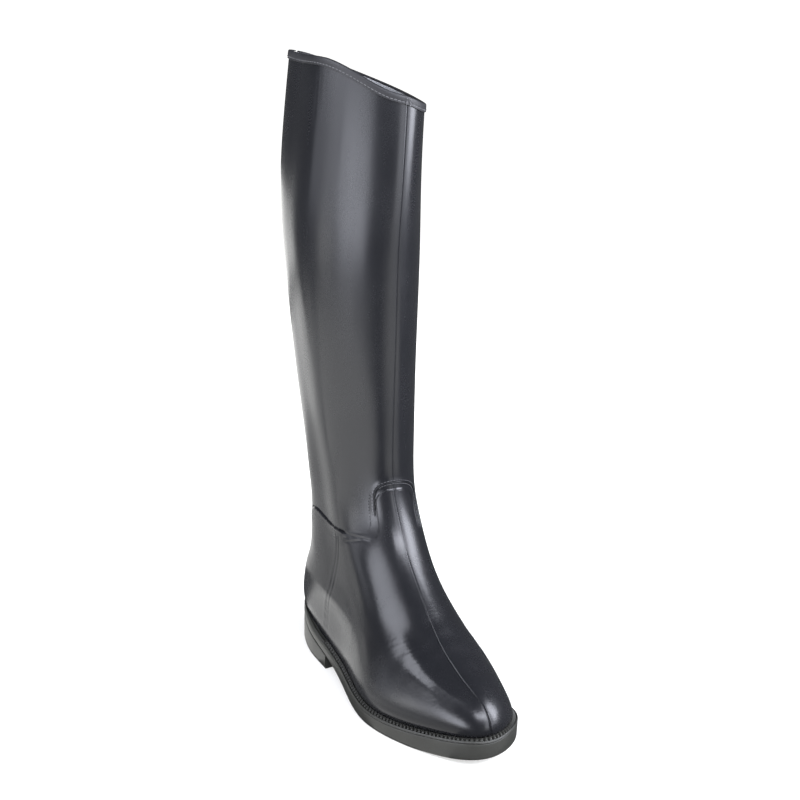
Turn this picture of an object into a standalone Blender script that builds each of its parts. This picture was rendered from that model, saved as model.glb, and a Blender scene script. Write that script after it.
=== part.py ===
"""Tall rubber riding boot for the right foot.

Boot coordinates are millimetres: r to the wearer's outer (lateral) side, f forward from the heel,
z up from the floor. The model is in metres with the toe toward -Y, the lateral side toward -X, and
the origin under the middle of the bounding box. The foot and leg are one skin, drawn through named
sections; every piece is taken from that skin or from its lower edge, the feather line.
"""

import bpy
import bmesh
import numpy as np

for old in list(bpy.data.objects):
    bpy.data.objects.remove(old, do_unlink=True)

MM = 0.001

# Frame: the middle of the bounding box, in boot coordinates.
FRAME_R = 2.77
FRAME_F = 122.36

# Walls and gaps.
WALL = 2.2  # moulded upper
GAP = 0.3  # between touching pieces
LASTING = 3.0  # how far the upper runs down inside the welt
RIM = 1.2  # the upper ends this far under the top of the collar binding

# Gusset: elastic textile panel behind the opening at the back of the shaft.
GUSSET_THICK = 1.4
GUSSET_GAP = 0.4
GUSSET_OVERLAP = 8.0

# Collar binding and back stay.
BINDING_TALL = 6.6
BINDING_PROUD = 1.1
STAY_HALF = 8.0
STAY_PROUD = 1.2
STAY_FROM, STAY_TO = 131.0, 308.0

# Sole.
LEDGE_HEEL, LEDGE_FORE = 1.4, 5.0  # how far the rim stands out beyond the upper
LEDGE_FROM, LEDGE_TO = 15.0, 60.0
WELT_DROP = 1.8  # the welt's top slopes down by this at the forefoot
SEAT = 10.3  # rim and heel seat, from the feather line down to the heel block
HEEL_BREAST = 82.0
TREAD_FROM, TREAD_TO = 172.0, 215.0  # flat under the ball
TOE_SPRING = 7.7
TOE_END = 273.0
ARCH_POWER, TOE_POWER = 1.75, 1.7
HEEL_INSET = 0.3
HEEL_EASE = 0.5  # the block's top falls away from the seat by this at the breast
INSOLE_THICK = 3.2
INSOLE_CLEAR = 0.5

# Mesh density.
AROUND = 52
FOOT_ROWS, LEG_ROWS = 9, 25

# Sections of the skin from the feather line to the collar. Each runs from f_back to f_front and from
# z_back to z_front; sag lowers the middle, tilt raises the lateral side, and crown raises the middle of the lateral
# side. The widths are measured from mid at the five stations below.
STATION_LAT = (0.045, 0.17, 0.40, 0.635, 0.87)
STATION_MED = (0.045, 0.17, 0.42, 0.69, 0.895)
SAG_POWER, CROWN_POWER, FRONT_LIP, MEDIAL_DROP = 1.35, 2.8, 0.22, 0.22
COLUMNS = (
    "z_back z_front sag tilt crown f_back f_front mid "
    "lat_round lat_heel lat_waist lat_ball lat_toe med_round med_heel med_waist med_ball med_toe"
).split()
SECTIONS = {
    "feather": (34.5, 24.5, 14.5, 0, 0, 3, 268, 0, 24, 33.5, 39, 49.5, 30, 23.5, 31.5, 26.5, 37, 40.5),
    "toe_low": (45, 32, 9.5, 0, 0, 0, 271.5, 1, 24, 34.5, 40, 53.5, 32.5, 23.5, 32.5, 28, 42, 38.5),
    "toe_mid": (58, 46.5, 4, 0, 0, -0.5, 260.5, 1, 23, 34, 38.5, 48, 31.5, 23, 33, 31.5, 44, 32),
    "toe_top": (71, 60, 1, 0, 0, 3.5, 232, 2, 21.5, 33, 37.5, 40.5, 31, 22, 33, 33.5, 42, 29.5),
    "vamp": (86, 79, 0, 0, 0, 8, 191.5, 1, 19.5, 31, 35, 35.5, 27.5, 20, 32, 35, 38, 27.5),
    "instep": (104, 102, 0, 0, 0, 7.5, 158.5, -0.5, 17.5, 29.5, 33, 33.5, 24, 18, 30, 35.5, 33.5, 26.5),
    "throat": (126, 128, 0, 0, 0, 4.5, 134, -2, 16, 28, 31, 33.5, 21, 16, 28, 33.5, 33, 26),
    "ankle": (155, 160, 0, 0, 0, 3, 118, -2, 15, 29, 32, 33, 20, 15, 27, 34.5, 34.5, 24.5),
    "low_leg": (195, 200, 0, 0, 0, -2, 111.5, -1.5, 15, 31, 36, 36, 21, 15, 28, 37.5, 37.5, 25),
    "mid_leg": (250, 255, 0, 0, 0, -11.5, 111, 0, 17, 34, 42, 41, 24, 17, 31.5, 41, 40, 26),
    "calf_low": (310, 310, 0, 0, 0, -21, 112, 1, 19, 37, 47, 47, 27, 19, 35.5, 44.5, 42.5, 26.5),
    "calf": (370, 365, 0, 0, 0, -27, 113, 2, 20, 39.5, 51.5, 50, 29, 20, 37.5, 46.5, 44, 27),
    "calf_high": (431, 418, 0, 8.5, 0, -31, 114, 1, 20, 40.5, 50.5, 50, 29, 20, 37.5, 47, 42.5, 25),
    "collar": (499, 484.5, 0, 27.5, 9, -29, 113.5, -1.5, 19, 38, 46, 48, 29, 19, 37.5, 46, 38, 24.5),
}
# Knots of the two splines: u goes round from the back by the lateral side, v climbs the sections.
U_TURN = 10.0
U_KNOTS = (0, 0.5, 1.0, 1.85, 2.85, 3.95, 5.0, 6.05, 7.15, 8.15, 9.0, 9.5)
V_KNOTS = (0, 0.55, 1.1, 1.75, 2.7, 3.7, 4.8, 6.0, 7.4, 9.2, 11.1, 13.0, 14.9, 16.5)
V_TOP = V_KNOTS[-1]

# Edge of the gusset opening: height, and the u of its medial and lateral sides.
GUSSET_EDGE = (
    # z, u_med, u_lat
    (314, 0.22, 0.52),
    (315, 0.10, 0.68),
    (317, 0.00, 0.77),
    (322, -0.16, 0.84),
    (330, -0.27, 0.88),
    (342, -0.32, 0.905),
    (368, -0.31, 0.925),
    (406, -0.31, 0.91),
    (444, -0.34, 0.885),
    (466, -0.40, 0.86),
    (491, -0.46, 0.80),
    (520, -0.52, 0.72),
)

TABLE = np.array(list(SECTIONS.values()), float)
COL = {name: TABLE[:, i] for i, name in enumerate(COLUMNS)}


# ---------------------------------------------------------------- the skin


def spline_matrix(knots, period=None):
    """Matrix from values at the knots to second derivatives there: natural ends, or periodic."""
    t = np.asarray(knots, float)
    n = len(t)
    steps = np.diff(t if period is None else np.append(t, t[0] + period))
    a, b = np.zeros((n, n)), np.zeros((n, n))
    for i in range(n):
        if period is None and i in (0, n - 1):
            a[i, i] = 1
            continue
        before, after = steps[i - 1], steps[i]
        left, right = (i - 1) % n, (i + 1) % n
        a[i, left] += before
        a[i, i] += 2 * (before + after)
        a[i, right] += after
        b[i, left] += 6 / before
        b[i, i] -= 6 / before + 6 / after
        b[i, right] += 6 / after
    return np.linalg.solve(a, b)


U_BEND = spline_matrix(U_KNOTS, U_TURN)
V_BEND = spline_matrix(V_KNOTS)


def weights(knots, bend, at, period=None):
    """Rows that turn knot values into values at each point of at."""
    t = np.asarray(knots, float)
    n = len(t)
    ends = t if period is None else np.append(t, t[0] + period)
    at = np.asarray(at, float)
    if period is not None:
        at = np.mod(at - t[0], period) + t[0]
    i = np.clip(np.searchsorted(ends, at, side="right") - 1, 0, len(ends) - 2)
    step = ends[i + 1] - ends[i]
    p = (ends[i + 1] - at) / step
    q = 1 - p
    j = (i + 1) % n
    rows = np.zeros((len(at), n))
    k = np.arange(len(at))
    rows[k, i] += p
    rows[k, j] += q
    rows += ((p**3 - p) * step**2 / 6)[:, None] * bend[i]
    rows += ((q**3 - q) * step**2 / 6)[:, None] * bend[j]
    return rows


def stations(columns, fractions):
    span = COL["f_front"] - COL["f_back"]
    return [(columns[i], COL["f_back"] + span * fractions[i]) for i in range(len(fractions))]


def ring_controls():
    """(section, knot, 2): r and f of the twelve control points of each section."""
    mid = COL["mid"]
    lat = stations([mid + COL["lat_" + n] for n in ("round", "heel", "waist", "ball", "toe")], STATION_LAT)
    med = stations([mid - COL["med_" + n] for n in ("round", "heel", "waist", "ball", "toe")], STATION_MED)
    ring = [(mid, COL["f_back"])] + lat + [(mid, COL["f_front"])] + med[::-1]
    return np.stack([np.stack(p, -1) for p in ring], 1)


CONTROLS = ring_controls()


def section_height(row, r, f):
    """Height of a section at r, f. row picks the section."""
    c = {name: values[row] for name, values in COL.items()}
    s = np.clip((f - c["f_back"]) / (c["f_front"] - c["f_back"]), 0, 1)
    half = (c["lat_waist"] + c["med_waist"]) / 2
    swell = np.sin(np.pi * s**SAG_POWER)
    out = (r - c["mid"]) / half
    level = c["z_back"] + (c["z_front"] - c["z_back"]) * s - c["sag"] * swell
    front = np.clip((s - 0.5) / 0.35, 0, 1)
    lip = FRONT_LIP * np.exp(-((out / 0.3) ** 2)) * front * front * (3 - 2 * front)
    rise = np.sin(np.pi * s**CROWN_POWER) * np.clip(out, 0, 1) + lip + MEDIAL_DROP * np.clip(out, -1, 0)
    return level + c["tilt"] * out / 2 + c["crown"] * rise


def feather_height(f):
    return section_height(0, 0.0, f)


def skin(u, v):
    """Points of the outer skin at paired u and v."""
    u, v = np.broadcast_arrays(np.asarray(u, float), np.asarray(v, float))
    flat = np.einsum("pk,skc->spc", weights(U_KNOTS, U_BEND, u.ravel(), U_TURN), CONTROLS)
    height = np.stack([section_height(s, flat[s, :, 0], flat[s, :, 1]) for s in range(len(TABLE))])
    points = np.concatenate([flat, height[..., None]], -1)
    out = np.einsum("ps,spc->pc", weights(V_KNOTS, V_BEND, v.ravel()), points)
    return out.reshape(u.shape + (3,))


def unit(x):
    return x / np.linalg.norm(x, axis=-1, keepdims=True)


def skin_frame(u, v, d=1e-3):
    """Points, outward normals and upward tangents of the skin."""
    along = skin(np.add(u, d), v) - skin(np.subtract(u, d), v)
    up = skin(u, np.add(v, d)) - skin(u, np.subtract(v, d))
    return skin(u, v), unit(np.cross(along, up)), unit(up)


def v_at_height(u, z):
    """v where the skin at u reaches the height z."""
    u, z = np.broadcast_arrays(np.asarray(u, float), np.asarray(z, float))
    low, high = np.full(u.shape, V_KNOTS[4]), np.full(u.shape, V_TOP + 1.5)
    for _ in range(40):
        mid = (low + high) / 2
        under = skin(u, mid)[..., 2] < z
        low, high = np.where(under, mid, low), np.where(under, high, mid)
    return (low + high) / 2


def u_per_mm(u, v, d=1e-3):
    """Change of u for one millimetre round the skin."""
    return 2 * d / np.linalg.norm(skin(np.add(u, d), v) - skin(np.subtract(u, d), v), axis=-1)


# ---------------------------------------------------------------- mesh helpers


def world(points):
    p = np.asarray(points, float)
    return np.stack([FRAME_R - p[..., 0], FRAME_F - p[..., 1], p[..., 2]], -1) * MM


def material(name, colour, roughness, metallic=0.0):
    m = bpy.data.materials.new(name)
    m.use_nodes = True
    shader = m.node_tree.nodes["Principled BSDF"]
    shader.inputs["Base Color"].default_value = (*colour, 1.0)
    shader.inputs["Roughness"].default_value = roughness
    shader.inputs["Metallic"].default_value = metallic
    return m


BOOT = bpy.data.objects.new("boot", None)
bpy.context.scene.collection.objects.link(BOOT)


def add_object(name, bm, mat):
    bmesh.ops.recalc_face_normals(bm, faces=bm.faces)
    mesh = bpy.data.meshes.new(name)
    bm.to_mesh(mesh)
    bm.free()
    mesh.shade_smooth()
    mesh.set_sharp_from_angle(angle=np.radians(40))
    mesh.materials.append(mat)
    obj = bpy.data.objects.new(name, mesh)
    bpy.context.scene.collection.objects.link(obj)
    obj.parent = BOOT
    return obj


def add_rings(bm, rings):
    return [[bm.verts.new(p) for p in world(ring)] for ring in rings]


def join_rings(bm, a, b, closed=True):
    n = len(a)
    for i in range(n if closed else n - 1):
        j = (i + 1) % n
        bm.faces.new((a[i], a[j], b[j], b[i]))


def ladder_cap(bm, ring):
    """Fills a ring with rungs from each lateral point to the medial point of the same number."""
    n = len(ring)
    h = n // 2
    bm.faces.new((ring[0], ring[1], ring[n - 1]))
    for i in range(1, h - 1):
        bm.faces.new((ring[i], ring[i + 1], ring[n - i - 1], ring[n - i]))
    bm.faces.new((ring[h - 1], ring[h], ring[h + 1]))


def hoop(name, rings, mat):
    """A section swept right round: the rings are joined in order, and the last to the first."""
    bm = bmesh.new()
    loops = add_rings(bm, rings)
    for a, b in zip(loops, loops[1:] + loops[:1]):
        join_rings(bm, a, b)
    return add_object(name, bm, mat)


def stack(name, rings, mat):
    """Rings joined in order and closed with ladders at both ends."""
    bm = bmesh.new()
    loops = add_rings(bm, rings)
    for a, b in zip(loops, loops[1:]):
        join_rings(bm, a, b)
    ladder_cap(bm, loops[0])
    ladder_cap(bm, loops[-1])
    return add_object(name, bm, mat)


def slab(name, outer, inner, mat):
    """Two grids of points joined along their border."""
    bm = bmesh.new()
    grids = [add_rings(bm, grid) for grid in (outer, inner)]
    for rows in grids:
        for a, b in zip(rows, rows[1:]):
            join_rings(bm, a, b, closed=False)
    edges = []
    for rows in grids:
        edges.append(rows[0] + [r[-1] for r in rows[1:]] + rows[-1][-2::-1] + [r[0] for r in rows[-2:0:-1]])
    join_rings(bm, *edges)
    return add_object(name, bm, mat)


def strip(name, sections, mat):
    """Closed sections joined in order, with a flat end at both ends."""
    bm = bmesh.new()
    loops = add_rings(bm, sections)
    for a, b in zip(loops, loops[1:]):
        join_rings(bm, a, b)
    bm.faces.new(loops[0])
    bm.faces.new(loops[-1])
    return add_object(name, bm, mat)


# ---------------------------------------------------------------- materials

RUBBER = material("rubber", (0.011, 0.011, 0.013), 0.28)
BINDING = material("binding_rubber", (0.010, 0.010, 0.011), 0.40)
ELASTIC = material("elastic_textile", (0.045, 0.045, 0.050), 0.92)
SOLE_RUBBER = material("sole_rubber", (0.028, 0.028, 0.027), 0.52)
FOOTBED = material("footbed_textile", (0.060, 0.060, 0.062), 0.95)

# ---------------------------------------------------------------- upper and leg pieces

U_ROUND = np.linspace(0, U_TURN, AROUND, endpoint=False)


def make_upper():
    v_rows = np.concatenate([np.linspace(0, V_KNOTS[3], FOOT_ROWS, endpoint=False), np.linspace(V_KNOTS[3], V_TOP, LEG_ROWS)])
    outer, inner = [], []
    for v in v_rows:
        p, normal, up = skin_frame(U_ROUND, np.full(AROUND, v))
        if v == 0:
            normal[:, 2] = 0
            normal = unit(normal)
        if v == V_TOP:
            p = p - RIM * up
        outer.append(p)
        inner.append(p - WALL * normal)
    lower = np.array([0, 0, LASTING])
    return hoop("upper", [outer[0] - lower] + outer + inner[::-1] + [inner[0] - lower], RUBBER)


def gusset_grid(columns, grow, from_top):
    """u and v over the gusset opening, grown all round; from_top is how far the last row stays under the collar."""
    edge = np.array(GUSSET_EDGE, float)
    rows_u, rows_v = [], []
    for i, (z, u_med, u_lat) in enumerate(edge):
        ends = np.array([u_med, u_lat])
        v = v_at_height(ends, np.full(2, z))
        ends = ends + np.array([-grow, grow]) * u_per_mm(ends, v)
        u = np.linspace(ends[0], ends[1], columns)
        low = grow * max(0.0, 1 - i / 4)
        v = v_at_height(u, np.full(columns, z - low))
        if from_top is not None:
            tall = np.linalg.norm(skin(u, np.full(columns, V_TOP)) - skin(u, np.full(columns, V_TOP - 0.1)), axis=-1) / 0.1
            limit = V_TOP - from_top / tall
            keep = i / (len(edge) - 1)
            v = np.minimum(v, limit - (1 - keep) * 0.35)
            if i == len(edge) - 1:
                v = limit
        rows_u.append(u)
        rows_v.append(v)
    return np.array(rows_u), np.array(rows_v)


def gusset_layer(columns, grow, offset, from_top=None):
    u, v = gusset_grid(columns, grow, from_top)
    p, normal, _ = skin_frame(u, v)
    return p + offset * normal


def cut_gusset_opening(upper):
    cutter = slab("gusset_cutter", gusset_layer(9, 0.0, 5.0), gusset_layer(9, 0.0, -8.0), RUBBER)
    cutter.hide_render = True
    cutter.display_type = "WIRE"
    cut = upper.modifiers.new("gusset_opening", "BOOLEAN")
    cut.operation = "DIFFERENCE"
    cut.solver = "EXACT"
    cut.object = cutter


def make_gusset():
    near = -(WALL + GUSSET_GAP)
    outer = gusset_layer(11, GUSSET_OVERLAP, near, RIM)
    inner = gusset_layer(11, GUSSET_OVERLAP, near - GUSSET_THICK, RIM)
    return slab("gusset", outer, inner, ELASTIC)


def make_collar_binding():
    """An L over the rubber part of the collar, from one side of the gusset round the front to the other."""
    edge = np.array(GUSSET_EDGE, float)
    start = np.interp(500.0, edge[:, 0], edge[:, 2])
    end = U_TURN + np.interp(492.0, edge[:, 0], edge[:, 1])
    inside = U_ROUND[(U_ROUND > start + 0.08) & (U_ROUND < end - 0.08)]
    u = np.concatenate([[start], inside, [end]])
    p, normal, up = skin_frame(u, np.full(len(u), V_TOP))
    lip = RIM - GAP
    profile = (
        (GAP, -BINDING_TALL),
        (BINDING_PROUD, -BINDING_TALL),
        (BINDING_PROUD, -0.3),
        (BINDING_PROUD - 0.3, 0.0),
        (0.3 - WALL, 0.0),
        (-WALL, -0.3),
        (-WALL, -lip),
        (GAP, -lip),
    )
    rings = np.stack([p + n * normal + t * up for n, t in profile], 1)
    return strip("collar_binding", list(rings), BINDING)


def make_back_stay():
    z = np.linspace(STAY_FROM, STAY_TO, 18)
    across = np.linspace(STAY_HALF, -STAY_HALF, 5)
    outer, inner = [], []
    for level in z:
        v = v_at_height(np.zeros(1), np.array([level]))
        u = across * u_per_mm(np.zeros(1), v)
        v = v_at_height(u, np.full(len(u), level))
        p, normal, _ = skin_frame(u, v)
        inner.append(p + GAP * normal)
        outer.append(p + STAY_PROUD * normal)
    return slab("back_stay", outer, inner, BINDING)


# ---------------------------------------------------------------- sole pieces


def feather_loop(offset):
    """The feather line moved outward by offset (a number, or one per point), as r and f."""
    p, normal, _ = skin_frame(U_ROUND, np.zeros(AROUND))
    flat = unit(normal[:, :2])
    return p[:, :2] + np.broadcast_to(offset, AROUND)[:, None] * flat


def ledge(f):
    t = np.clip((f - LEDGE_FROM) / (LEDGE_TO - LEDGE_FROM), 0, 1)
    return LEDGE_HEEL + (LEDGE_FORE - LEDGE_HEEL) * t * t * (3 - 2 * t)


def tread_height(f):
    """Underside of the outsole: heel seat, arch, flat tread, toe spring."""
    rise = feather_height(HEEL_BREAST) - SEAT
    arch = rise * np.clip((TREAD_FROM - f) / (TREAD_FROM - HEEL_BREAST), 0, 1) ** ARCH_POWER
    toe = TOE_SPRING * np.clip((f - TREAD_TO) / (TOE_END - TREAD_TO), 0, 1.2) ** TOE_POWER
    return np.where(f < HEEL_BREAST, feather_height(f) - SEAT, arch + toe)


def ring_at(offset, height):
    """A ring beside the feather line; height is a function of f."""
    flat = feather_loop(offset)
    return np.column_stack([flat, height(flat[:, 1])])


EDGE = ledge(feather_loop(0.0)[:, 1])


def make_welt():
    slope = WELT_DROP * EDGE / LEDGE_FORE
    inner = np.full(AROUND, GAP)
    crest = GAP + 0.35 * (EDGE - GAP)

    def at(offset, below):
        flat = feather_loop(offset)
        return np.column_stack([flat, feather_height(flat[:, 1]) - below])

    return hoop(
        "welt",
        [
            at(inner, LASTING),
            at(inner, 0.2),
            at(crest, 0.3 * slope),
            at(EDGE - 0.3, slope),
            at(EDGE, slope + 0.5),
            at(EDGE, LASTING - 0.3),
            at(EDGE - 0.3, LASTING),
        ],
        SOLE_RUBBER,
    )


def make_outsole():
    def top(f):
        return feather_height(f) - LASTING - GAP

    return stack(
        "outsole",
        [
            ring_at(EDGE - 0.7, top),
            ring_at(EDGE - 0.1, lambda f: top(f) - 0.6),
            ring_at(EDGE - 0.2, lambda f: tread_height(f) + 2.0),
            ring_at(EDGE - 0.7, lambda f: tread_height(f) + 0.7),
            ring_at(EDGE - 1.6, tread_height),
        ],
        SOLE_RUBBER,
    )


def make_heel():
    """Block under the seat, with a flat breast across the front and its top against the seat."""
    depths = 1 - np.cos(np.linspace(0, np.pi / 2, 11))

    def outline(offset):
        loop = feather_loop(EDGE - offset)
        half = AROUND // 2
        lat, med = loop[: half + 1], np.vstack([loop[:1], loop[: half - 1 : -1]])
        back = loop[0]
        f = back[1] + (HEEL_BREAST - back[1]) * depths
        sides = [np.column_stack([np.interp(f, s[:, 1], s[:, 0]), f]) for s in (lat, med)]
        front = np.array([[(sides[0][-1, 0] + sides[1][-1, 0]) / 2, HEEL_BREAST]])
        return np.vstack([back[None], sides[0][1:], front, sides[1][:0:-1]])

    def ring(offset, height):
        flat = outline(offset)
        return np.column_stack([flat, np.broadcast_to(height(flat[:, 1]), len(flat))])

    def top(f):
        return feather_height(f) - SEAT - GAP - HEEL_EASE * np.clip((f - 64.0) / 18.0, 0, 1)

    return stack(
        "heel",
        [
            ring(HEEL_INSET + 0.4, top),
            ring(HEEL_INSET, lambda f: top(f) - 0.5),
            ring(HEEL_INSET + 0.2, lambda f: 1.0 + 0 * f),
            ring(HEEL_INSET + 0.9, lambda f: 0 * f),
        ],
        SOLE_RUBBER,
    )


def make_insole():
    inset = -(WALL + INSOLE_CLEAR)
    base = LASTING

    def level(up):
        return lambda f: feather_height(f) - base + up

    return stack(
        "insole",
        [
            ring_at(inset - 0.4, level(INSOLE_THICK)),
            ring_at(inset, level(INSOLE_THICK - 0.4)),
            ring_at(inset, level(0.0)),
        ],
        FOOTBED,
    )


cut_gusset_opening(make_upper())
make_gusset()
make_collar_binding()
make_back_stay()
make_welt()
make_outsole()
make_heel()
make_insole()
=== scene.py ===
"""Looks of the tall rubber riding boot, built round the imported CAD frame.

Boot coordinates are millimetres, as in the part's source: r to the wearer's outer (lateral) side, f forward
from the heel, z up from the floor. The skin of foot and leg is repeated here; on it are drawn the moulded
lines, stitches, lining, gusset, collar band and sole, each as a piece of its own.
"""

import math

import bmesh
import bpy
import numpy as np
from mathutils import Matrix, Vector

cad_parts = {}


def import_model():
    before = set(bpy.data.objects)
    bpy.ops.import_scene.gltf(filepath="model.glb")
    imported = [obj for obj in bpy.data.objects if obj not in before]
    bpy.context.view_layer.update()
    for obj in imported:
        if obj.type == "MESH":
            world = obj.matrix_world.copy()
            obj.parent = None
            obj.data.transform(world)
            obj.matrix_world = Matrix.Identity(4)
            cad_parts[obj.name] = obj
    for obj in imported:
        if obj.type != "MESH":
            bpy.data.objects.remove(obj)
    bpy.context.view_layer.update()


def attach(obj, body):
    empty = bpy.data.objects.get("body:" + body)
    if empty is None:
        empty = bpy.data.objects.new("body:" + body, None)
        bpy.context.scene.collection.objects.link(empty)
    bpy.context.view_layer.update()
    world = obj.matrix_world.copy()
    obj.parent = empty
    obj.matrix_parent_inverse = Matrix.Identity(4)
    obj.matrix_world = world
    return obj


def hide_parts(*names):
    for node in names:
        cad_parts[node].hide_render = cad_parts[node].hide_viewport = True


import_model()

MM = 0.001
FRAME_R, FRAME_F = 2.77, 122.36

WALL, GAP, LASTING, RIM = 2.2, 0.3, 3.0, 1.2
GUSSET_THICK, GUSSET_GAP, GUSSET_OVERLAP = 1.4, 0.4, 8.0
BINDING_TALL, BINDING_PROUD = 6.6, 1.1
STAY_HALF, STAY_PROUD, STAY_FROM, STAY_TO = 8.0, 1.2, 131.0, 308.0
LEDGE_HEEL, LEDGE_FORE, LEDGE_FROM, LEDGE_TO = 1.4, 5.0, 15.0, 60.0
WELT_DROP, SEAT, HEEL_BREAST, HEEL_INSET = 1.8, 10.3, 82.0, 0.3
TREAD_FROM, TREAD_TO, TOE_SPRING, TOE_END = 172.0, 215.0, 7.7, 273.0
ARCH_POWER, TOE_POWER = 1.75, 1.7
INSOLE_THICK, INSOLE_CLEAR = 3.2, 0.5

# ---------------------------------------------------------------- the skin, as in the part's source

STATION_LAT = (0.045, 0.17, 0.40, 0.635, 0.87)
STATION_MED = (0.045, 0.17, 0.42, 0.69, 0.895)
SAG_POWER, CROWN_POWER, FRONT_LIP, MEDIAL_DROP = 1.35, 2.8, 0.22, 0.22
COLUMNS = (
    "z_back z_front sag tilt crown f_back f_front mid "
    "lat_round lat_heel lat_waist lat_ball lat_toe med_round med_heel med_waist med_ball med_toe"
).split()
SECTIONS = {
    "feather": (34.5, 24.5, 14.5, 0, 0, 3, 268, 0, 24, 33.5, 39, 49.5, 30, 23.5, 31.5, 26.5, 37, 40.5),
    "toe_low": (45, 32, 9.5, 0, 0, 0, 271.5, 1, 24, 34.5, 40, 53.5, 32.5, 23.5, 32.5, 28, 42, 38.5),
    "toe_mid": (58, 46.5, 4, 0, 0, -0.5, 260.5, 1, 23, 34, 38.5, 48, 31.5, 23, 33, 31.5, 44, 32),
    "toe_top": (71, 60, 1, 0, 0, 3.5, 232, 2, 21.5, 33, 37.5, 40.5, 31, 22, 33, 33.5, 42, 29.5),
    "vamp": (86, 79, 0, 0, 0, 8, 191.5, 1, 19.5, 31, 35, 35.5, 27.5, 20, 32, 35, 38, 27.5),
    "instep": (104, 102, 0, 0, 0, 7.5, 158.5, -0.5, 17.5, 29.5, 33, 33.5, 24, 18, 30, 35.5, 33.5, 26.5),
    "throat": (126, 128, 0, 0, 0, 4.5, 134, -2, 16, 28, 31, 33.5, 21, 16, 28, 33.5, 33, 26),
    "ankle": (155, 160, 0, 0, 0, 3, 118, -2, 15, 29, 32, 33, 20, 15, 27, 34.5, 34.5, 24.5),
    "low_leg": (195, 200, 0, 0, 0, -2, 111.5, -1.5, 15, 31, 36, 36, 21, 15, 28, 37.5, 37.5, 25),
    "mid_leg": (250, 255, 0, 0, 0, -11.5, 111, 0, 17, 34, 42, 41, 24, 17, 31.5, 41, 40, 26),
    "calf_low": (310, 310, 0, 0, 0, -21, 112, 1, 19, 37, 47, 47, 27, 19, 35.5, 44.5, 42.5, 26.5),
    "calf": (370, 365, 0, 0, 0, -27, 113, 2, 20, 39.5, 51.5, 50, 29, 20, 37.5, 46.5, 44, 27),
    "calf_high": (431, 418, 0, 8.5, 0, -31, 114, 1, 20, 40.5, 50.5, 50, 29, 20, 37.5, 47, 42.5, 25),
    "collar": (499, 484.5, 0, 27.5, 9, -29, 113.5, -1.5, 19, 38, 46, 48, 29, 19, 37.5, 46, 38, 24.5),
}
U_TURN = 10.0
U_KNOTS = (0, 0.5, 1.0, 1.85, 2.85, 3.95, 5.0, 6.05, 7.15, 8.15, 9.0, 9.5)
V_KNOTS = (0, 0.55, 1.1, 1.75, 2.7, 3.7, 4.8, 6.0, 7.4, 9.2, 11.1, 13.0, 14.9, 16.5)
V_TOP = V_KNOTS[-1]
GUSSET_EDGE = (
    # z, u_med, u_lat
    (314, 0.22, 0.52),
    (315, 0.10, 0.68),
    (317, 0.00, 0.77),
    (322, -0.16, 0.84),
    (330, -0.27, 0.88),
    (342, -0.32, 0.905),
    (368, -0.31, 0.925),
    (406, -0.31, 0.91),
    (444, -0.34, 0.885),
    (466, -0.40, 0.86),
    (491, -0.46, 0.80),
    (520, -0.52, 0.72),
)
TABLE = np.array(list(SECTIONS.values()), float)
COL = {name: TABLE[:, i] for i, name in enumerate(COLUMNS)}


def spline_matrix(knots, period=None):
    """Matrix from values at the knots to second derivatives there: natural ends, or periodic."""
    t = np.asarray(knots, float)
    n = len(t)
    gaps = np.diff(t if period is None else np.append(t, t[0] + period))
    a, b = np.zeros((n, n)), np.zeros((n, n))
    for i in range(n):
        if period is None and i in (0, n - 1):
            a[i, i] = 1
            continue
        before, after = gaps[i - 1], gaps[i]
        left, right = (i - 1) % n, (i + 1) % n
        a[i, left] += before
        a[i, i] += 2 * (before + after)
        a[i, right] += after
        b[i, left] += 6 / before
        b[i, i] -= 6 / before + 6 / after
        b[i, right] += 6 / after
    return np.linalg.solve(a, b)


def weights(knots, bend, at, period=None):
    """Rows that turn knot values into values at each point of at."""
    t = np.asarray(knots, float)
    n = len(t)
    ends = t if period is None else np.append(t, t[0] + period)
    at = np.asarray(at, float)
    if period is not None:
        at = np.mod(at - t[0], period) + t[0]
    i = np.clip(np.searchsorted(ends, at, side="right") - 1, 0, len(ends) - 2)
    step = ends[i + 1] - ends[i]
    p = (ends[i + 1] - at) / step
    q = 1 - p
    j = (i + 1) % n
    rows = np.zeros((len(at), n))
    k = np.arange(len(at))
    rows[k, i] += p
    rows[k, j] += q
    rows += ((p**3 - p) * step**2 / 6)[:, None] * bend[i]
    rows += ((q**3 - q) * step**2 / 6)[:, None] * bend[j]
    return rows


U_BEND = spline_matrix(U_KNOTS, U_TURN)
V_BEND = spline_matrix(V_KNOTS)


def stations(columns, fractions):
    span = COL["f_front"] - COL["f_back"]
    return [(columns[i], COL["f_back"] + span * fractions[i]) for i in range(len(fractions))]


def ring_controls():
    mid = COL["mid"]
    lat = stations([mid + COL["lat_" + n] for n in ("round", "heel", "waist", "ball", "toe")], STATION_LAT)
    med = stations([mid - COL["med_" + n] for n in ("round", "heel", "waist", "ball", "toe")], STATION_MED)
    ring = [(mid, COL["f_back"])] + lat + [(mid, COL["f_front"])] + med[::-1]
    return np.stack([np.stack(p, -1) for p in ring], 1)


CONTROLS = ring_controls()


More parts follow.
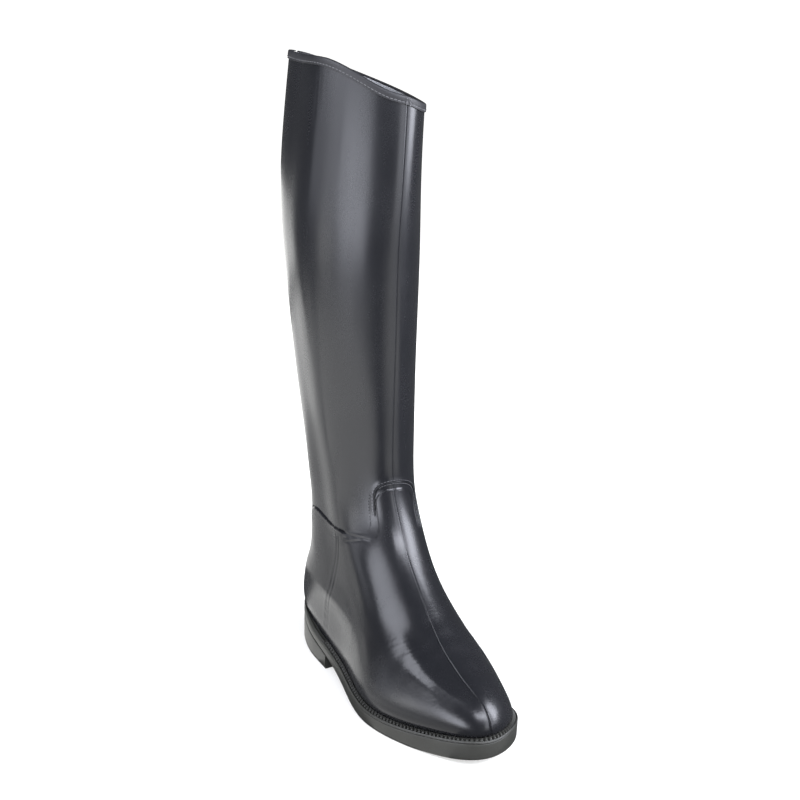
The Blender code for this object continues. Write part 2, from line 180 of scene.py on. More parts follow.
def section_height(row, r, f):
    c = {name: values[row] for name, values in COL.items()}
    s = np.clip((f - c["f_back"]) / (c["f_front"] - c["f_back"]), 0, 1)
    half = (c["lat_waist"] + c["med_waist"]) / 2
    swell = np.sin(np.pi * s**SAG_POWER)
    out = (r - c["mid"]) / half
    level = c["z_back"] + (c["z_front"] - c["z_back"]) * s - c["sag"] * swell
    front = np.clip((s - 0.5) / 0.35, 0, 1)
    lip = FRONT_LIP * np.exp(-((out / 0.3) ** 2)) * front * front * (3 - 2 * front)
    rise = np.sin(np.pi * s**CROWN_POWER) * np.clip(out, 0, 1) + lip + MEDIAL_DROP * np.clip(out, -1, 0)
    return level + c["tilt"] * out / 2 + c["crown"] * rise


def feather_height(f):
    return section_height(0, 0.0, f)


def skin(u, v):
    """Points of the outer skin at paired u and v."""
    u, v = np.broadcast_arrays(np.asarray(u, float), np.asarray(v, float))
    flat = np.einsum("pk,skc->spc", weights(U_KNOTS, U_BEND, u.ravel(), U_TURN), CONTROLS)
    height = np.stack([section_height(s, flat[s, :, 0], flat[s, :, 1]) for s in range(len(TABLE))])
    points = np.concatenate([flat, height[..., None]], -1)
    out = np.einsum("ps,spc->pc", weights(V_KNOTS, V_BEND, v.ravel()), points)
    return out.reshape(u.shape + (3,))


def unit(x):
    return x / np.linalg.norm(x, axis=-1, keepdims=True)


def skin_frame(u, v, d=1e-3):
    """Points, outward normals and upward tangents of the skin."""
    along = skin(np.add(u, d), v) - skin(np.subtract(u, d), v)
    up = skin(u, np.add(v, d)) - skin(u, np.subtract(v, d))
    return skin(u, v), unit(np.cross(along, up)), unit(up)


def v_at_height(u, z):
    u, z = np.broadcast_arrays(np.asarray(u, float), np.asarray(z, float))
    low, high = np.full(u.shape, 0.02), np.full(u.shape, V_TOP + 1.5)
    for _ in range(34):
        mid = (low + high) / 2
        under = skin(u, mid)[..., 2] < z
        low, high = np.where(under, mid, low), np.where(under, high, mid)
    return (low + high) / 2


def u_per_mm(u, v, d=1e-3):
    return 2 * d / np.linalg.norm(skin(np.add(u, d), v) - skin(np.subtract(u, d), v), axis=-1)


# ---------------------------------------------------------------- small helpers


def smooth(a, b, x):
    t = np.clip((np.asarray(x, float) - a) / (b - a), 0, 1)
    return t * t * (3 - 2 * t)


def bell(x, width):
    return np.exp(-np.square(np.asarray(x, float) / width))


def runs(*parts):
    """Values from runs of (start, end, step); the last end is left out."""
    return np.concatenate([np.linspace(a, b, int(round((b - a) / d)), endpoint=False) for a, b, d in parts])


def world(points):
    p = np.asarray(points, float)
    return np.stack([FRAME_R - p[..., 0], FRAME_F - p[..., 1], p[..., 2]], -1) * MM


def through(points, step, scale=(30.0, 28.0)):
    """A smooth run through (u, v) points, about step millimetres apart."""
    pts = np.array(points, float)
    t = np.concatenate([[0], np.cumsum(np.linalg.norm(np.diff(pts * scale, axis=0), axis=1))])
    at = np.linspace(0, t[-1], int(t[-1] / step) + 2)
    return weights(t, spline_matrix(t), at) @ pts


class Line:
    """A curve drawn on the skin: points, outward normals, tangents, sideways vectors and length so far."""

    def __init__(self, points, step=0.5, lift=0.0, ready=False):
        uv = np.array(points, float) if ready else through(points, step)
        self.u, self.v = uv[:, 0], uv[:, 1]
        p, self.n, self.up = skin_frame(self.u, self.v)
        self.p = p + lift * self.n
        self.t = unit(np.gradient(self.p, axis=0))
        self.side = unit(np.cross(self.n, self.t))
        self.s = np.concatenate([[0], np.cumsum(np.linalg.norm(np.diff(self.p, axis=0), axis=1))])
        self.length = self.s[-1]

    def beside(self, points, reach):
        """Distance across and along the curve for each point; far points get 1e6 across."""
        across, along = np.full(len(points), 1e6), np.zeros(len(points))
        near = np.where(((points > self.p.min(0) - reach) & (points < self.p.max(0) + reach)).all(1))[0]
        for part in np.array_split(near, max(1, len(near) // 2500)):
            gaps = ((points[part, None] - self.p[None]) ** 2).sum(-1)
            k = gaps.argmin(1)
            d = points[part] - self.p[k]
            a = (d * self.side[k]).sum(1)
            close = np.sqrt(gaps[np.arange(len(part)), k]) < reach * 1.5
            across[part] = np.where(close, a, 1e6)
            along[part] = self.s[k] + (d * self.t[k]).sum(1)
        return across, along

    def ends(self, along, fade):
        """1 along the curve, falling to 0 within fade of both ends."""
        return smooth(-0.1, fade, along) * smooth(-0.1, fade, self.length - along)

    def at(self, distances):
        pick = lambda x: np.stack([np.interp(distances, self.s, x[:, i]) for i in range(3)], -1)
        return pick(self.p), unit(pick(self.n)), unit(pick(self.t))


def finish_mesh(name, verts, faces, mat, replaces=(), uv=None, sharp=40.0, outward=True):
    mesh = bpy.data.meshes.new(name)
    mesh.from_pydata(world(verts).tolist(), [], faces)
    if uv is not None:
        layer = mesh.uv_layers.new(name="surface")
        layer.data.foreach_set("uv", np.asarray(uv, np.float32).ravel())
    if outward:
        bm = bmesh.new()
        bm.from_mesh(mesh)
        bmesh.ops.recalc_face_normals(bm, faces=bm.faces)
        bm.to_mesh(mesh)
        bm.free()
    mesh.shade_smooth()
    if sharp:
        mesh.set_sharp_from_angle(angle=math.radians(sharp))
    mesh.materials.append(mat)
    obj = bpy.data.objects.new(name, mesh)
    bpy.context.scene.collection.objects.link(obj)
    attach(obj, "root")
    if replaces:
        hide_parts(*replaces)
    return obj


def grid_faces(m, n, closed_rows=False, closed_columns=False, start=0):
    """Quads of an m by n grid of points numbered row by row."""
    i, j = np.meshgrid(np.arange(m if closed_rows else m - 1), np.arange(n if closed_columns else n - 1), indexing="ij")
    i2, j2 = (i + 1) % m, (j + 1) % n
    quads = np.stack([i * n + j, i * n + j2, i2 * n + j2, i2 * n + j], -1).reshape(-1, 4)
    return (quads + start).tolist()


def grid_uv(arc, height):
    """Per-corner values for grid_faces, from arrays with one more column where the columns close."""
    a, h = np.asarray(arc), np.asarray(height)
    corners = []
    for di, dj in ((0, 0), (0, 1), (1, 1), (1, 0)):
        m, n = a.shape[0] - 1, a.shape[1] - 1
        corners.append(np.stack([a[di : di + m, dj : dj + n], h[di : di + m, dj : dj + n]], -1))
    return np.stack(corners, 2).reshape(-1, 2)


def slab_parts(outer, inner):
    """Two grids joined along their border: points and faces."""
    m, n = outer.shape[:2]
    verts = np.concatenate([outer.reshape(-1, 3), inner.reshape(-1, 3)])
    faces = grid_faces(m, n) + [f[::-1] for f in grid_faces(m, n, start=m * n)]
    index = np.arange(m * n).reshape(m, n)
    edge = np.concatenate([index[0], index[1:, -1], index[-1, -2::-1], index[-2:0:-1, 0]])
    after = np.roll(edge, -1)
    faces += np.stack([edge, edge + m * n, after + m * n, after], -1).tolist()
    return verts, faces


# ---------------------------------------------------------------- materials


class Paint:
    """A Principled material and short calls to add and link its nodes."""

    def __init__(self, name):
        self.mat = bpy.data.materials.new(name)
        self.mat.use_nodes = True
        self.tree = self.mat.node_tree
        self.shader = self.tree.nodes["Principled BSDF"]
        self.coord = self.tree.nodes.new("ShaderNodeTexCoord")

    def put(self, target, socket, value):
        if hasattr(value, "is_linked"):
            self.tree.links.new(value, target.inputs[socket])
        else:
            target.inputs[socket].default_value = value

    def set(self, **values):
        for key, value in values.items():
            self.put(self.shader, key.replace("_", " "), value)

    def node(self, kind, out=0, props=None, **values):
        n = self.tree.nodes.new("ShaderNode" + kind)
        for key, value in (props or {}).items():
            setattr(n, key, value)
        for key, value in values.items():
            self.put(n, int(key[1:]) if key[0] == "i" and key[1:].isdigit() else key.replace("_", " "), value)
        return n.outputs[out]

    def place(self, scale=(1, 1, 1), source="Object"):
        return self.node("Mapping", Vector=self.coord.outputs[source], Scale=scale)

    def noise(self, scale, detail=3.0, rough=0.5, stretch=(1, 1, 1), source="Object"):
        where = self.place(stretch, source)
        return self.node("TexNoise", Vector=where, Scale=scale, Detail=detail, Roughness=rough)

    def remap(self, value, low, high, to_low, to_high):
        return self.node("MapRange", i0=value, i1=low, i2=high, i3=to_low, i4=to_high)

    def ramp(self, value, *stops):
        n = self.tree.nodes.new("ShaderNodeValToRGB")
        self.put(n, 0, value)
        band = n.color_ramp
        while len(band.elements) < len(stops):
            band.elements.new(0.5)
        for element, (place, colour) in zip(band.elements, stops):
            element.position = place
            element.color = (*colour, 1.0)
        return n.outputs[0]

    def math(self, what, a, b=0.0):
        return self.node("Math", props={"operation": what}, i0=a, i1=b)

    def bump(self, height, distance, strength=1.0, over=None):
        n = self.tree.nodes.new("ShaderNodeBump")
        self.put(n, "Height", height)
        self.put(n, "Distance", distance)
        self.put(n, "Strength", strength)
        if over is not None:
            self.put(n, "Normal", over)
        return n.outputs[0]

    def ribs(self, axis, period, source="UV"):
        """A sine of the given period, in metres, along one axis of the coordinates."""
        split = self.node("SeparateXYZ", axis, Vector=self.coord.outputs[source])
        return self.math("SINE", self.math("MULTIPLY", split, 2 * math.pi / period))


def rubber_paint():
    """Moulded black rubber: satin gloss, slightly uneven, with faint drag streaks and fine dust in the gloss."""
    m = Paint("rubber_satin")
    broad = m.noise(14, 3)
    fine = m.noise(900, 2)
    streak = m.noise(1, 3, stretch=(260, 260, 14))
    tone = m.math("ADD", m.math("MULTIPLY", broad, 0.7), m.math("MULTIPLY", fine, 0.3))
    gloss = m.math("ADD", m.remap(broad, 0.3, 0.7, 0.235, 0.275), m.remap(fine, 0.3, 0.7, -0.012, 0.016))
    peel = m.bump(m.noise(120, 2), 0.00008, 0.16)
    drag = m.bump(streak, 0.00006, 0.20, over=peel)
    low = m.remap(m.node("SeparateXYZ", 2, i0=m.place()), 0.09, 0.17, 1.0, 0.0)
    fold = m.bump(m.math("MULTIPLY", m.noise(1, 3, 0.6, stretch=(120, 420, 420)), low), 0.00022, 0.35, over=drag)
    grain = m.bump(fine, 0.00002, 0.05, over=fold)
    gloss = m.math("ADD", gloss, m.remap(m.noise(1, 3, stretch=(55, 55, 7)), 0.3, 0.7, -0.03, 0.03))
    m.set(Base_Color=m.ramp(tone, (0.30, (0.0056, 0.0058, 0.0070)), (0.72, (0.0090, 0.0093, 0.0108))))
    m.set(Roughness=gloss, Normal=grain)
    m.set(Specular_IOR_Level=0.36)
    return m.mat


def band_paint():
    """Folded rubber strip of the collar band and back strip, a little duller, with a fine cloth-backed grain."""
    m = Paint("rubber_strip")
    fine = m.noise(1500, 3)
    broad = m.noise(30, 2)
    m.set(Base_Color=m.ramp(broad, (0.3, (0.009, 0.009, 0.010)), (0.7, (0.016, 0.016, 0.018))))
    m.set(Roughness=m.remap(fine, 0.25, 0.75, 0.44, 0.58), Normal=m.bump(fine, 0.00006, 0.35))
    m.set(Specular_IOR_Level=0.34)
    return m.mat


def sole_paint():
    """Sole rubber: dull dark grey with a trace of olive, fine grain, and faint lines left by trimming."""
    m = Paint("sole_rubber")
    fine = m.noise(1300, 3)
    broad = m.noise(22, 3)
    lines = m.noise(1, 3, stretch=(60, 60, 1400))
    m.set(Base_Color=m.ramp(broad, (0.3, (0.018, 0.018, 0.0155)), (0.7, (0.028, 0.028, 0.024))))
    rough = m.math("ADD", m.remap(broad, 0.3, 0.7, 0.44, 0.52), m.remap(fine, 0.3, 0.7, -0.03, 0.05))
    m.set(Roughness=rough, Normal=m.bump(lines, 0.00012, 0.35, over=m.bump(fine, 0.00006, 0.6)))
    m.set(Specular_IOR_Level=0.40)
    return m.mat


def elastic_paint():
    """Elastic gusset: matt charcoal textile, close upright ribs crossed by finer rows, a little lint; its colour is
    painted darker in the grooves, as shade.
    """
    m = Paint("elastic_textile")
    ribs = m.ribs(0, 0.0011)
    rows = m.ribs(1, 0.0008)
    weave_relief_and_shade = m.math("ADD", m.math("MULTIPLY", ribs, 0.65), m.math("MULTIPLY", rows, 0.35))
    broad = m.noise(55, 3)
    lint = m.noise(900, 2)
    # Painted shade: the colour is darker in the grooves of the ribs and rows, the same field as the bump; the broad
    # patches and lint specks are the cloth's own tone.
    tone = m.math("ADD", m.remap(weave_relief_and_shade, -1, 1, 0.30, 0.52), m.remap(broad, 0.3, 0.7, -0.05, 0.08))
    tone = m.math("ADD", tone, m.remap(lint, 0.66, 0.80, 0.0, 0.30))
    m.set(Base_Color=m.ramp(tone, (0.2, (0.022, 0.022, 0.023)), (0.55, (0.043, 0.043, 0.045)), (0.9, (0.120, 0.120, 0.122))))
    m.set(Roughness=m.remap(broad, 0.3, 0.7, 0.82, 0.95), Normal=m.bump(weave_relief_and_shade, 0.00016, 0.55))
    m.set(Specular_IOR_Level=0.25, Sheen_Weight=0.25, Sheen_Roughness=0.5)
    return m.mat


def lining_paint():
    """Fine knit lining: grey, matt, with small loops in rows; its colour is painted darker between the loops, as shade.
    """
    m = Paint("knit_lining")
    wales = m.ribs(0, 0.0016)
    courses = m.ribs(1, 0.0013)
    loop = m.math("MULTIPLY", wales, courses)
    patch = m.noise(500, 3)
    # Painted shade: the colour is darker in the hollows between the loops, the same field as the bump; the patches are
    # the knit's own tone.
    tone = m.math("ADD", m.remap(loop, -1, 1, 0.2, 0.7), m.remap(patch, 0.3, 0.7, -0.15, 0.2))
    m.set(Base_Color=m.ramp(tone, (0.1, (0.12, 0.122, 0.128)), (0.85, (0.46, 0.465, 0.48))))
    m.set(Roughness=m.remap(patch, 0.3, 0.7, 0.85, 0.98), Normal=m.bump(loop, 0.00035, 0.8))
    m.set(Specular_IOR_Level=0.2, Sheen_Weight=0.3, Sheen_Roughness=0.45)
    return m.mat


def footbed_paint():
    m = Paint("footbed_knit")
    loop = m.math("MULTIPLY", m.ribs(0, 0.0022, "Object"), m.ribs(1, 0.0022, "Object"))
    patch = m.noise(260, 3)
    # Painted shade: the colour is darker in the hollows between the loops, the same field as the bump; the patches are
    # the knit's own tone.
    tone = m.math("ADD", m.remap(loop, -1, 1, 0.2, 0.7), m.remap(patch, 0.3, 0.7, -0.15, 0.15))
    m.set(Base_Color=m.ramp(tone, (0.1, (0.045, 0.045, 0.047)), (0.9, (0.115, 0.115, 0.120))))
    m.set(Roughness=m.remap(patch, 0.3, 0.7, 0.85, 0.98), Normal=m.bump(loop, 0.0004, 0.6))
    m.set(Specular_IOR_Level=0.2)
    return m.mat


def thread_paint():
    """Waxed black sewing thread, its colour painted lighter on the raised parts of its twist: a painted highlight."""
    m = Paint("waxed_thread")
    twist_relief_and_highlight = m.noise(2400, 2)
    # Painted highlight: the colour is lighter where the twist stands highest, the same field as its bump.
    m.set(Base_Color=m.ramp(twist_relief_and_highlight, (0.3, (0.030, 0.030, 0.032)), (0.7, (0.090, 0.090, 0.095))))
    m.set(Roughness=m.remap(twist_relief_and_highlight, 0.3, 0.7, 0.30, 0.48), Normal=m.bump(twist_relief_and_highlight, 0.0001, 0.6))
    m.set(Specular_IOR_Level=0.55)
    return m.mat


RUBBER = rubber_paint()
STRIP = band_paint()
SOLE = sole_paint()
ELASTIC = elastic_paint()
LINING = lining_paint()
FOOTBED = footbed_paint()
THREAD = thread_paint()

# ---------------------------------------------------------------- lines drawn on the skin (u, v)

FRONT_SEAM = Line(
    [
        (5.00, 16.5),
        (5.02, 15.26),
        (5.02, 13.2),
        (5.03, 10.9),
        (5.00, 8.1),
        (4.97, 6.35),
        (5.01, 5.5),
        (5.01, 4.38),
        (4.99, 3.4),
        (4.90, 2.46),
        (4.91, 1.84),
        (4.94, 1.41),
        (5.00, 1.05),
        (5.00, 0.76),
        (5.02, 0.18),
    ]
)
TONGUE_OUTER = Line(
    [
        (4.17, 5.54),
        (4.19, 5.83),
        (4.22, 6.06),
        (4.26, 6.26),
        (4.38, 6.42),
        (4.61, 6.53),
        (4.97, 6.58),
        (5.43, 6.50),
        (5.80, 6.33),
        (6.02, 6.10),
        (6.05, 5.77),
        (5.99, 5.36),
        (5.95, 4.94),
    ]
)
TONGUE_INNER = Line(
    [
        (3.97, 4.86),
        (4.14, 5.03),
        (4.22, 5.20),
        (4.26, 5.45),
        (4.27, 5.80),
        (4.31, 6.07),
        (4.43, 6.22),
        (4.66, 6.33),
        (4.97, 6.35),
        (5.30, 6.31),
        (5.60, 6.17),
        (5.80, 5.94),
        (5.80, 5.68),
        (5.76, 5.35),
        (5.77, 5.01),
    ]
)
TONGUE_FAINT = Line([(4.19, 6.32), (4.07, 6.10), (4.02, 5.80), (4.01, 5.52), (3.98, 5.31), (3.88, 5.08)])
COUNTER_TOP_LAT = Line([(0.46, 4.61), (0.62, 4.47), (0.86, 4.50), (1.05, 4.80), (1.41, 4.95), (1.81, 4.84), (2.43, 4.81), (2.83, 4.85), (3.18, 4.86)])
COUNTER_FORE_LAT = Line([(3.05, 4.86), (3.46, 4.87), (3.74, 4.88), (3.97, 4.86)])
COUNTER_LOW_LAT = Line([(2.68, 4.46), (3.08, 4.60), (3.40, 4.72), (3.68, 4.83)])
COUNTER_TOP_MED = Line([(7.10, 4.86), (7.70, 4.92), (8.25, 4.92), (8.60, 4.82), (9.00, 4.51), (9.33, 4.49), (9.54, 4.62)])
SEAM_LAT = Line([(2.60, 4.74), (2.50, 4.45), (2.25, 3.75), (1.93, 2.92), (1.72, 2.17), (1.47, 1.25), (1.38, 0.45)])
SEAM_MED = Line([(7.50, 4.78), (7.56, 4.63), (7.84, 3.78), (8.12, 2.92), (8.24, 2.40), (8.45, 1.27), (8.56, 0.45)])


def on_back(z_from, z_to, count=60):
    z = np.linspace(z_from, z_to, count)
    return np.column_stack([np.zeros(count), v_at_height(np.zeros(count), z)])


BACK_SEAM_HIGH = Line(on_back(128, 88), ready=True)
BACK_SEAM_LOW = Line(on_back(52, 38), ready=True)


def gusset_outline():
    """Smooth edge of the gusset opening, from the medial top down round the bottom to the lateral top: u and z."""
    edge = np.array(GUSSET_EDGE, float)
    path = np.concatenate([edge[::-1][:, [1, 0]], edge[:, [2, 0]]])
    for _ in range(3):
        cut = np.empty((2 * len(path), 2))
        cut[0], cut[-1] = path[0], path[-1]
        cut[1:-1:2] = 0.75 * path[:-1] + 0.25 * path[1:]
        cut[2:-1:2] = 0.25 * path[:-1] + 0.75 * path[1:]
        path = cut
    return path


OUTLINE = gusset_outline()


def outline_line():
    size = OUTLINE * (31.0, 1.0)
    t = np.concatenate([[0], np.cumsum(np.linalg.norm(np.diff(size, axis=0), axis=1))])
    at = np.arange(0, t[-1], 0.6)
    u, z = np.interp(at, t, OUTLINE[:, 0]), np.interp(at, t, OUTLINE[:, 1])
    v = v_at_height(u, z)
    keep = v < V_TOP
    return Line(np.column_stack([u[keep], v[keep]]), ready=True)


GUSSET_LINE = outline_line()


def gusset_rows(count, bottom_up=0.0):
    """Heights of the opening and its u on the medial and lateral sides."""
    lowest = OUTLINE[:, 1].min()
    turn = OUTLINE[:, 1].argmin()
    med, lat = OUTLINE[: turn + 1][::-1], OUTLINE[turn:]
    t = np.linspace(0, 1, count) ** 2.2
    z = lowest + 0.02 + bottom_up + (519.0 - lowest) * t
    return z, np.interp(z, med[:, 1], med[:, 0]), np.interp(z, lat[:, 1], lat[:, 0])


# ---------------------------------------------------------------- upper


def relief(u, v, p):
    """How far the moulded surface stands out of the plain skin, in millimetres."""
    d = np.zeros(len(p))
    r, f, z = p.T

    # Front mould seam: a fine groove with a lip on its lateral side, deepest over the toe.
    a, s = FRONT_SEAM.beside(p, 8)
    toe = 1 - smooth(1.0, 1.25, v)
    d -= (0.34 + 0.50 * toe) * bell(a, 0.42 + 0.35 * toe)
    d += 0.12 * bell(a + 1.1, 0.55) * (1 - 0.6 * toe)

    # Tongue of the vamp: a sunk band between two fine ribs, which are pieces of their own.
    ao, so = TONGUE_OUTER.beside(p, 10)
    ai, si = TONGUE_INNER.beside(p, 10)
    eo, ei = TONGUE_OUTER.ends(so, 9), TONGUE_INNER.ends(si, 5)
    band = smooth(0.0, 0.9, -ao) * smooth(0.0, 0.9, ai) * (np.abs(ao) < 9) * (np.abs(ai) < 9)
    d -= 0.75 * band * np.minimum(eo, ei)
    d += 0.22 * smooth(0.0, 0.8, ao) * (1 - smooth(0.8, 5.0, ao)) * eo

    # Counter: its top edge stands proud under a dark cut, then runs on as two faint lines.
    for line, fade in ((COUNTER_TOP_LAT, 8), (COUNTER_TOP_MED, 8)):
        a, s = line.beside(p, 16)
        e = line.ends(s, fade)
        d += (0.55 * smooth(0.1, 0.9, -a) * (1 - smooth(2.5, 13.0, -a)) - 1.40 * bell(a - 0.55, 0.62)) * e
        d -= 0.18 * bell(a + 4.0, 0.7) * e
    for line in (COUNTER_FORE_LAT, COUNTER_LOW_LAT):
        a, s = line.beside(p, 8)
        d += (0.16 * bell(a - 1.2, 0.8) - 0.26 * bell(a, 0.6)) * line.ends(s, 5)

    # Side seams of the counter: two fine grooves three millimetres apart.
    for line, ahead in ((SEAM_LAT, 1), (SEAM_MED, -1)):
        a, s = line.beside(p, 9)
        a = a * ahead
        e = line.ends(s, 4)
        d -= (0.40 * bell(a, 0.62) + 0.40 * bell(a - 4.2, 0.62)) * e
        d += 0.16 * bell(a - 2.1, 1.3) * e
        d += 0.20 * smooth(0.2, 1.0, -a) * (1 - smooth(1.5, 7.0, -a)) * e

    # Back: centre seam, spur rest with its slot and shield, end of the back strip.
    x = r - np.interp(z, [30, 60, 100, 130], [0.5, 0.5, -0.3, -2.0])
    rear = (f < 40) & (np.abs(x) < 25)
    for line in (BACK_SEAM_HIGH, BACK_SEAM_LOW):
        a, s = line.beside(p, 6)
        d -= 0.45 * bell(a, 0.6) * line.ends(s, 3)
    wide = 1 - smooth(5.6, 7.0, np.abs(x))
    d += np.where(rear, wide * (0.9 * bell(z - 111.4, 1.1) - 0.9 * bell(z - 114.0, 1.0)), 0)
    shield = (1 - smooth(0.0, 1.2, np.abs(x) - 8.0 * np.clip((z - 88.0) / 22.0, 0, 1) ** 0.6)) * smooth(88, 90, z) * (1 - smooth(110.5, 112, z))
    d += np.where(rear, 0.40 * shield, 0)
    slot = (1 - smooth(8.6, 9.6, np.abs(x))) * bell(z - 129.4, 1.0)
    d -= np.where(rear, 0.9 * slot, 0)

    # Gusset opening: turned lip and a channel for the stitches.
    a, s = GUSSET_LINE.beside(p, 9)
    x = -a
    lip = (np.abs(a) < 9) & (x > -2)
    d += np.where(lip, 0.30 * (1 - smooth(1.2, 2.4, x)) - 0.30 * bell(x - 3.6, 0.8), 0)

    # Flex of the vamp: three soft shallow troughs across the top, and fine ripples across the lateral side of the ball.
    over = smooth(2.6, 3.6, u) * (1 - smooth(6.4, 7.4, u)) * smooth(0.9, 1.6, v) * (1 - smooth(3.0, 3.6, v))
    bow = f - 0.004 * (r - 4) ** 2 * np.sign(r - 4) * 0.4
    for place, deep, long in ((186, 0.26, 6.0), (199, 0.34, 5.5), (213, 0.28, 6.0)):
        d -= over * deep * bell(bow - place - 0.12 * (r - 5), long)
        d += over * 0.35 * deep * bell(bow - place - 0.12 * (r - 5) - 1.8 * long, long)
    ripple = bell(u - 3.95, 0.45) * bell(v - 1.85, 0.55)
    wave = f + 0.35 * r + 0.9 * np.sin(r / 6.0)
    d += ripple * 0.085 * (np.sin(wave * 2 * np.pi / 3.3) + 0.6 * np.sin(wave * 2 * np.pi / 5.1 + r / 5.0))

    # Toe cap: flatter on top, with a fuller shoulder on the lateral side.
    cap = smooth(1.02, 1.55, v) * (1 - smooth(1.9, 2.8, v))
    d += cap * (1.2 * bell(u - 4.12, 0.32) - 1.1 * bell(u - 4.62, 0.24))

    # Uneven set of the rubber round the ankle, and soft dents ahead of the side seam.
    zone = smooth(0.9, 1.7, v) * (1 - smooth(5.0, 6.4, v))
    d += zone * (0.16 * np.sin(z / 15 + 1.3) * np.sin(f / 19 + 0.4) + 0.10 * np.sin(z / 8.5 + f / 12 + r / 20 + 2.1))
    for du, dv, deep, wide_u, wide_v in ((2.86, 3.15, 0.20, 0.17, 0.45), (2.50, 2.25, 0.16, 0.16, 0.42), (2.72, 1.30, 0.16, 0.13, 0.35), (3.40, 2.9, 0.12, 0.15, 0.6)):
        d -= deep * bell(u - du, wide_u) * bell(v - dv, wide_v)
    for du, low, high, deep in ((2.86, 15.55, 16.3, 0.16), (2.97, 15.75, 16.3, 0.20), (3.12, 15.85, 16.3, 0.12), (3.52, 14.9, 16.1, 0.07), (2.55, 15.3, 16.2, 0.07)):
        lean = u - du - 0.05 * (v - 16)
        d -= deep * bell(lean, 0.035) * smooth(low, low + 0.3, v) * (1 - smooth(high - 0.1, high + 0.1, v))
    leg = smooth(6.4, 8.0, v)
    d += leg * 0.10 * np.sin(z / 41 + 0.7) * np.sin(r / 13 + f / 17)
    return d


def make_upper():
    us = runs(
        (0, 1.0, 0.03),
        (1.0, 2.9, 0.03),
        (2.9, 3.9, 0.045),
        (3.9, 4.88, 0.027),
        (4.88, 4.96, 0.0125),
        (4.96, 5.04, 0.008),
        (5.04, 5.12, 0.0125),
        (5.12, 6.2, 0.03),
        (6.2, 7.3, 0.06),
        (7.3, 8.7, 0.036),
        (8.7, 9.4, 0.045),
        (9.4, 10.0, 0.03),
    )
    vs = np.append(runs((0, 0.9, 0.045), (0.9, 4.3, 0.04), (4.3, 6.8, 0.03), (6.8, 11.1, 0.17), (11.1, 11.9, 0.05), (11.9, 16.5, 0.17)), V_TOP)
    u, v = np.meshgrid(us, vs)
    # Columns near the front follow the mould seam, so that its groove is cut cleanly.
    order = np.argsort(FRONT_SEAM.v)
    u = u + (np.interp(v, FRONT_SEAM.v[order], FRONT_SEAM.u[order]) - 5.0) * bell(u - 5.0, 0.30)
    p, n, up = skin_frame(u, v)
    d = relief(u.ravel(), v.ravel(), p.reshape(-1, 3)).reshape(u.shape)
    fade = smooth(0.0, 0.15, v)
    outer = p + (d * fade)[..., None] * n
    outer[-1] -= RIM * up[-1]
    vi = np.concatenate([runs((0, 3.0, 0.25), (3.0, 8.0, 0.5), (8.0, 16.5, 1.0)), [V_TOP]])
    ui, wi = np.meshgrid(us, vi)
    q, m, upi = skin_frame(ui, wi)
    m[0, :, 2] = 0
    m[0] = unit(m[0])
    inner = q - WALL * m
    inner[-1] -= RIM * upi[-1]
    low = np.array([0, 0, LASTING])
    rings = np.concatenate([(outer[0] - low)[None], outer, inner[::-1], (inner[0] - low)[None]])
    verts = rings.reshape(-1, 3)
    faces = grid_faces(len(rings), len(us), closed_rows=True, closed_columns=True)
    upper = finish_mesh("upper_moulded", verts, faces, RUBBER, ["upper"])

    z, med, lat = gusset_rows(46)
    across = np.linspace(0, 1, 14)
    gu = med[:, None] + (lat - med)[:, None] * across[None]
    gv = v_at_height(gu, np.broadcast_to(z[:, None], gu.shape))
    gp, gn, _ = skin_frame(gu, gv)
    cv, cf = slab_parts(gp + 5.0 * gn, gp - 8.0 * gn)
    mesh = bpy.data.meshes.new("gusset_cutter")
    mesh.from_pydata(world(cv).tolist(), [], cf)
    bm = bmesh.new()
    bm.from_mesh(mesh)
    bmesh.ops.recalc_face_normals(bm, faces=bm.faces)
    bm.to_mesh(mesh)
    bm.free()
    cutter = bpy.data.objects.new("gusset_cutter", mesh)
    bpy.context.scene.collection.objects.link(cutter)
    cut = upper.modifiers.new("gusset_opening", "BOOLEAN")
    cut.operation, cut.solver, cut.object = "DIFFERENCE", "EXACT", cutter
    bpy.context.view_layer.update()
    done = bpy.data.meshes.new_from_object(upper.evaluated_get(bpy.context.evaluated_depsgraph_get()))
    upper.modifiers.clear()
    upper.data = done
    bpy.data.objects.remove(cutter, do_unlink=True)
    done.shade_smooth()
    done.set_sharp_from_angle(angle=math.radians(40))
    return upper


make_upper()

# ---------------------------------------------------------------- gusset, lining, collar band, back strip


def arc_columns(points):
    """Length along each row of a grid of points, in metres."""
    return np.concatenate([np.zeros((len(points), 1)), np.cumsum(np.linalg.norm(np.diff(points, axis=1), axis=2), axis=1)], 1) * MM


def under_collar(u, below):
    """v that lies below millimetres under the collar's edge."""
    tall = np.linalg.norm(skin(u, np.full(np.shape(u), V_TOP)) - skin(u, np.full(np.shape(u), V_TOP - 0.1)), axis=-1) / 0.1
    return V_TOP - below / tall


def gusset_surface(grow, rows, columns, top):
    z, med, lat = gusset_rows(rows)
    ends = np.stack([med, lat], 1)
    v = v_at_height(ends, np.stack([z, z], 1))
    ends = ends + np.array([-grow, grow]) * u_per_mm(ends, v)
    across = np.linspace(0, 1, columns)
    u = ends[:, :1] + (ends[:, 1:] - ends[:, :1]) * across
    low = grow * np.clip(1 - (z - z[0]) / 14.0, 0, 1)
    v = v_at_height(u, np.broadcast_to((z - low)[:, None], u.shape))
    limit = under_collar(u, top)
    share = np.linspace(0, 1, rows)[:, None]
    v = np.minimum(v, limit - (1 - share) * 0.5)
    v[-1] = limit[-1]
    return u, v


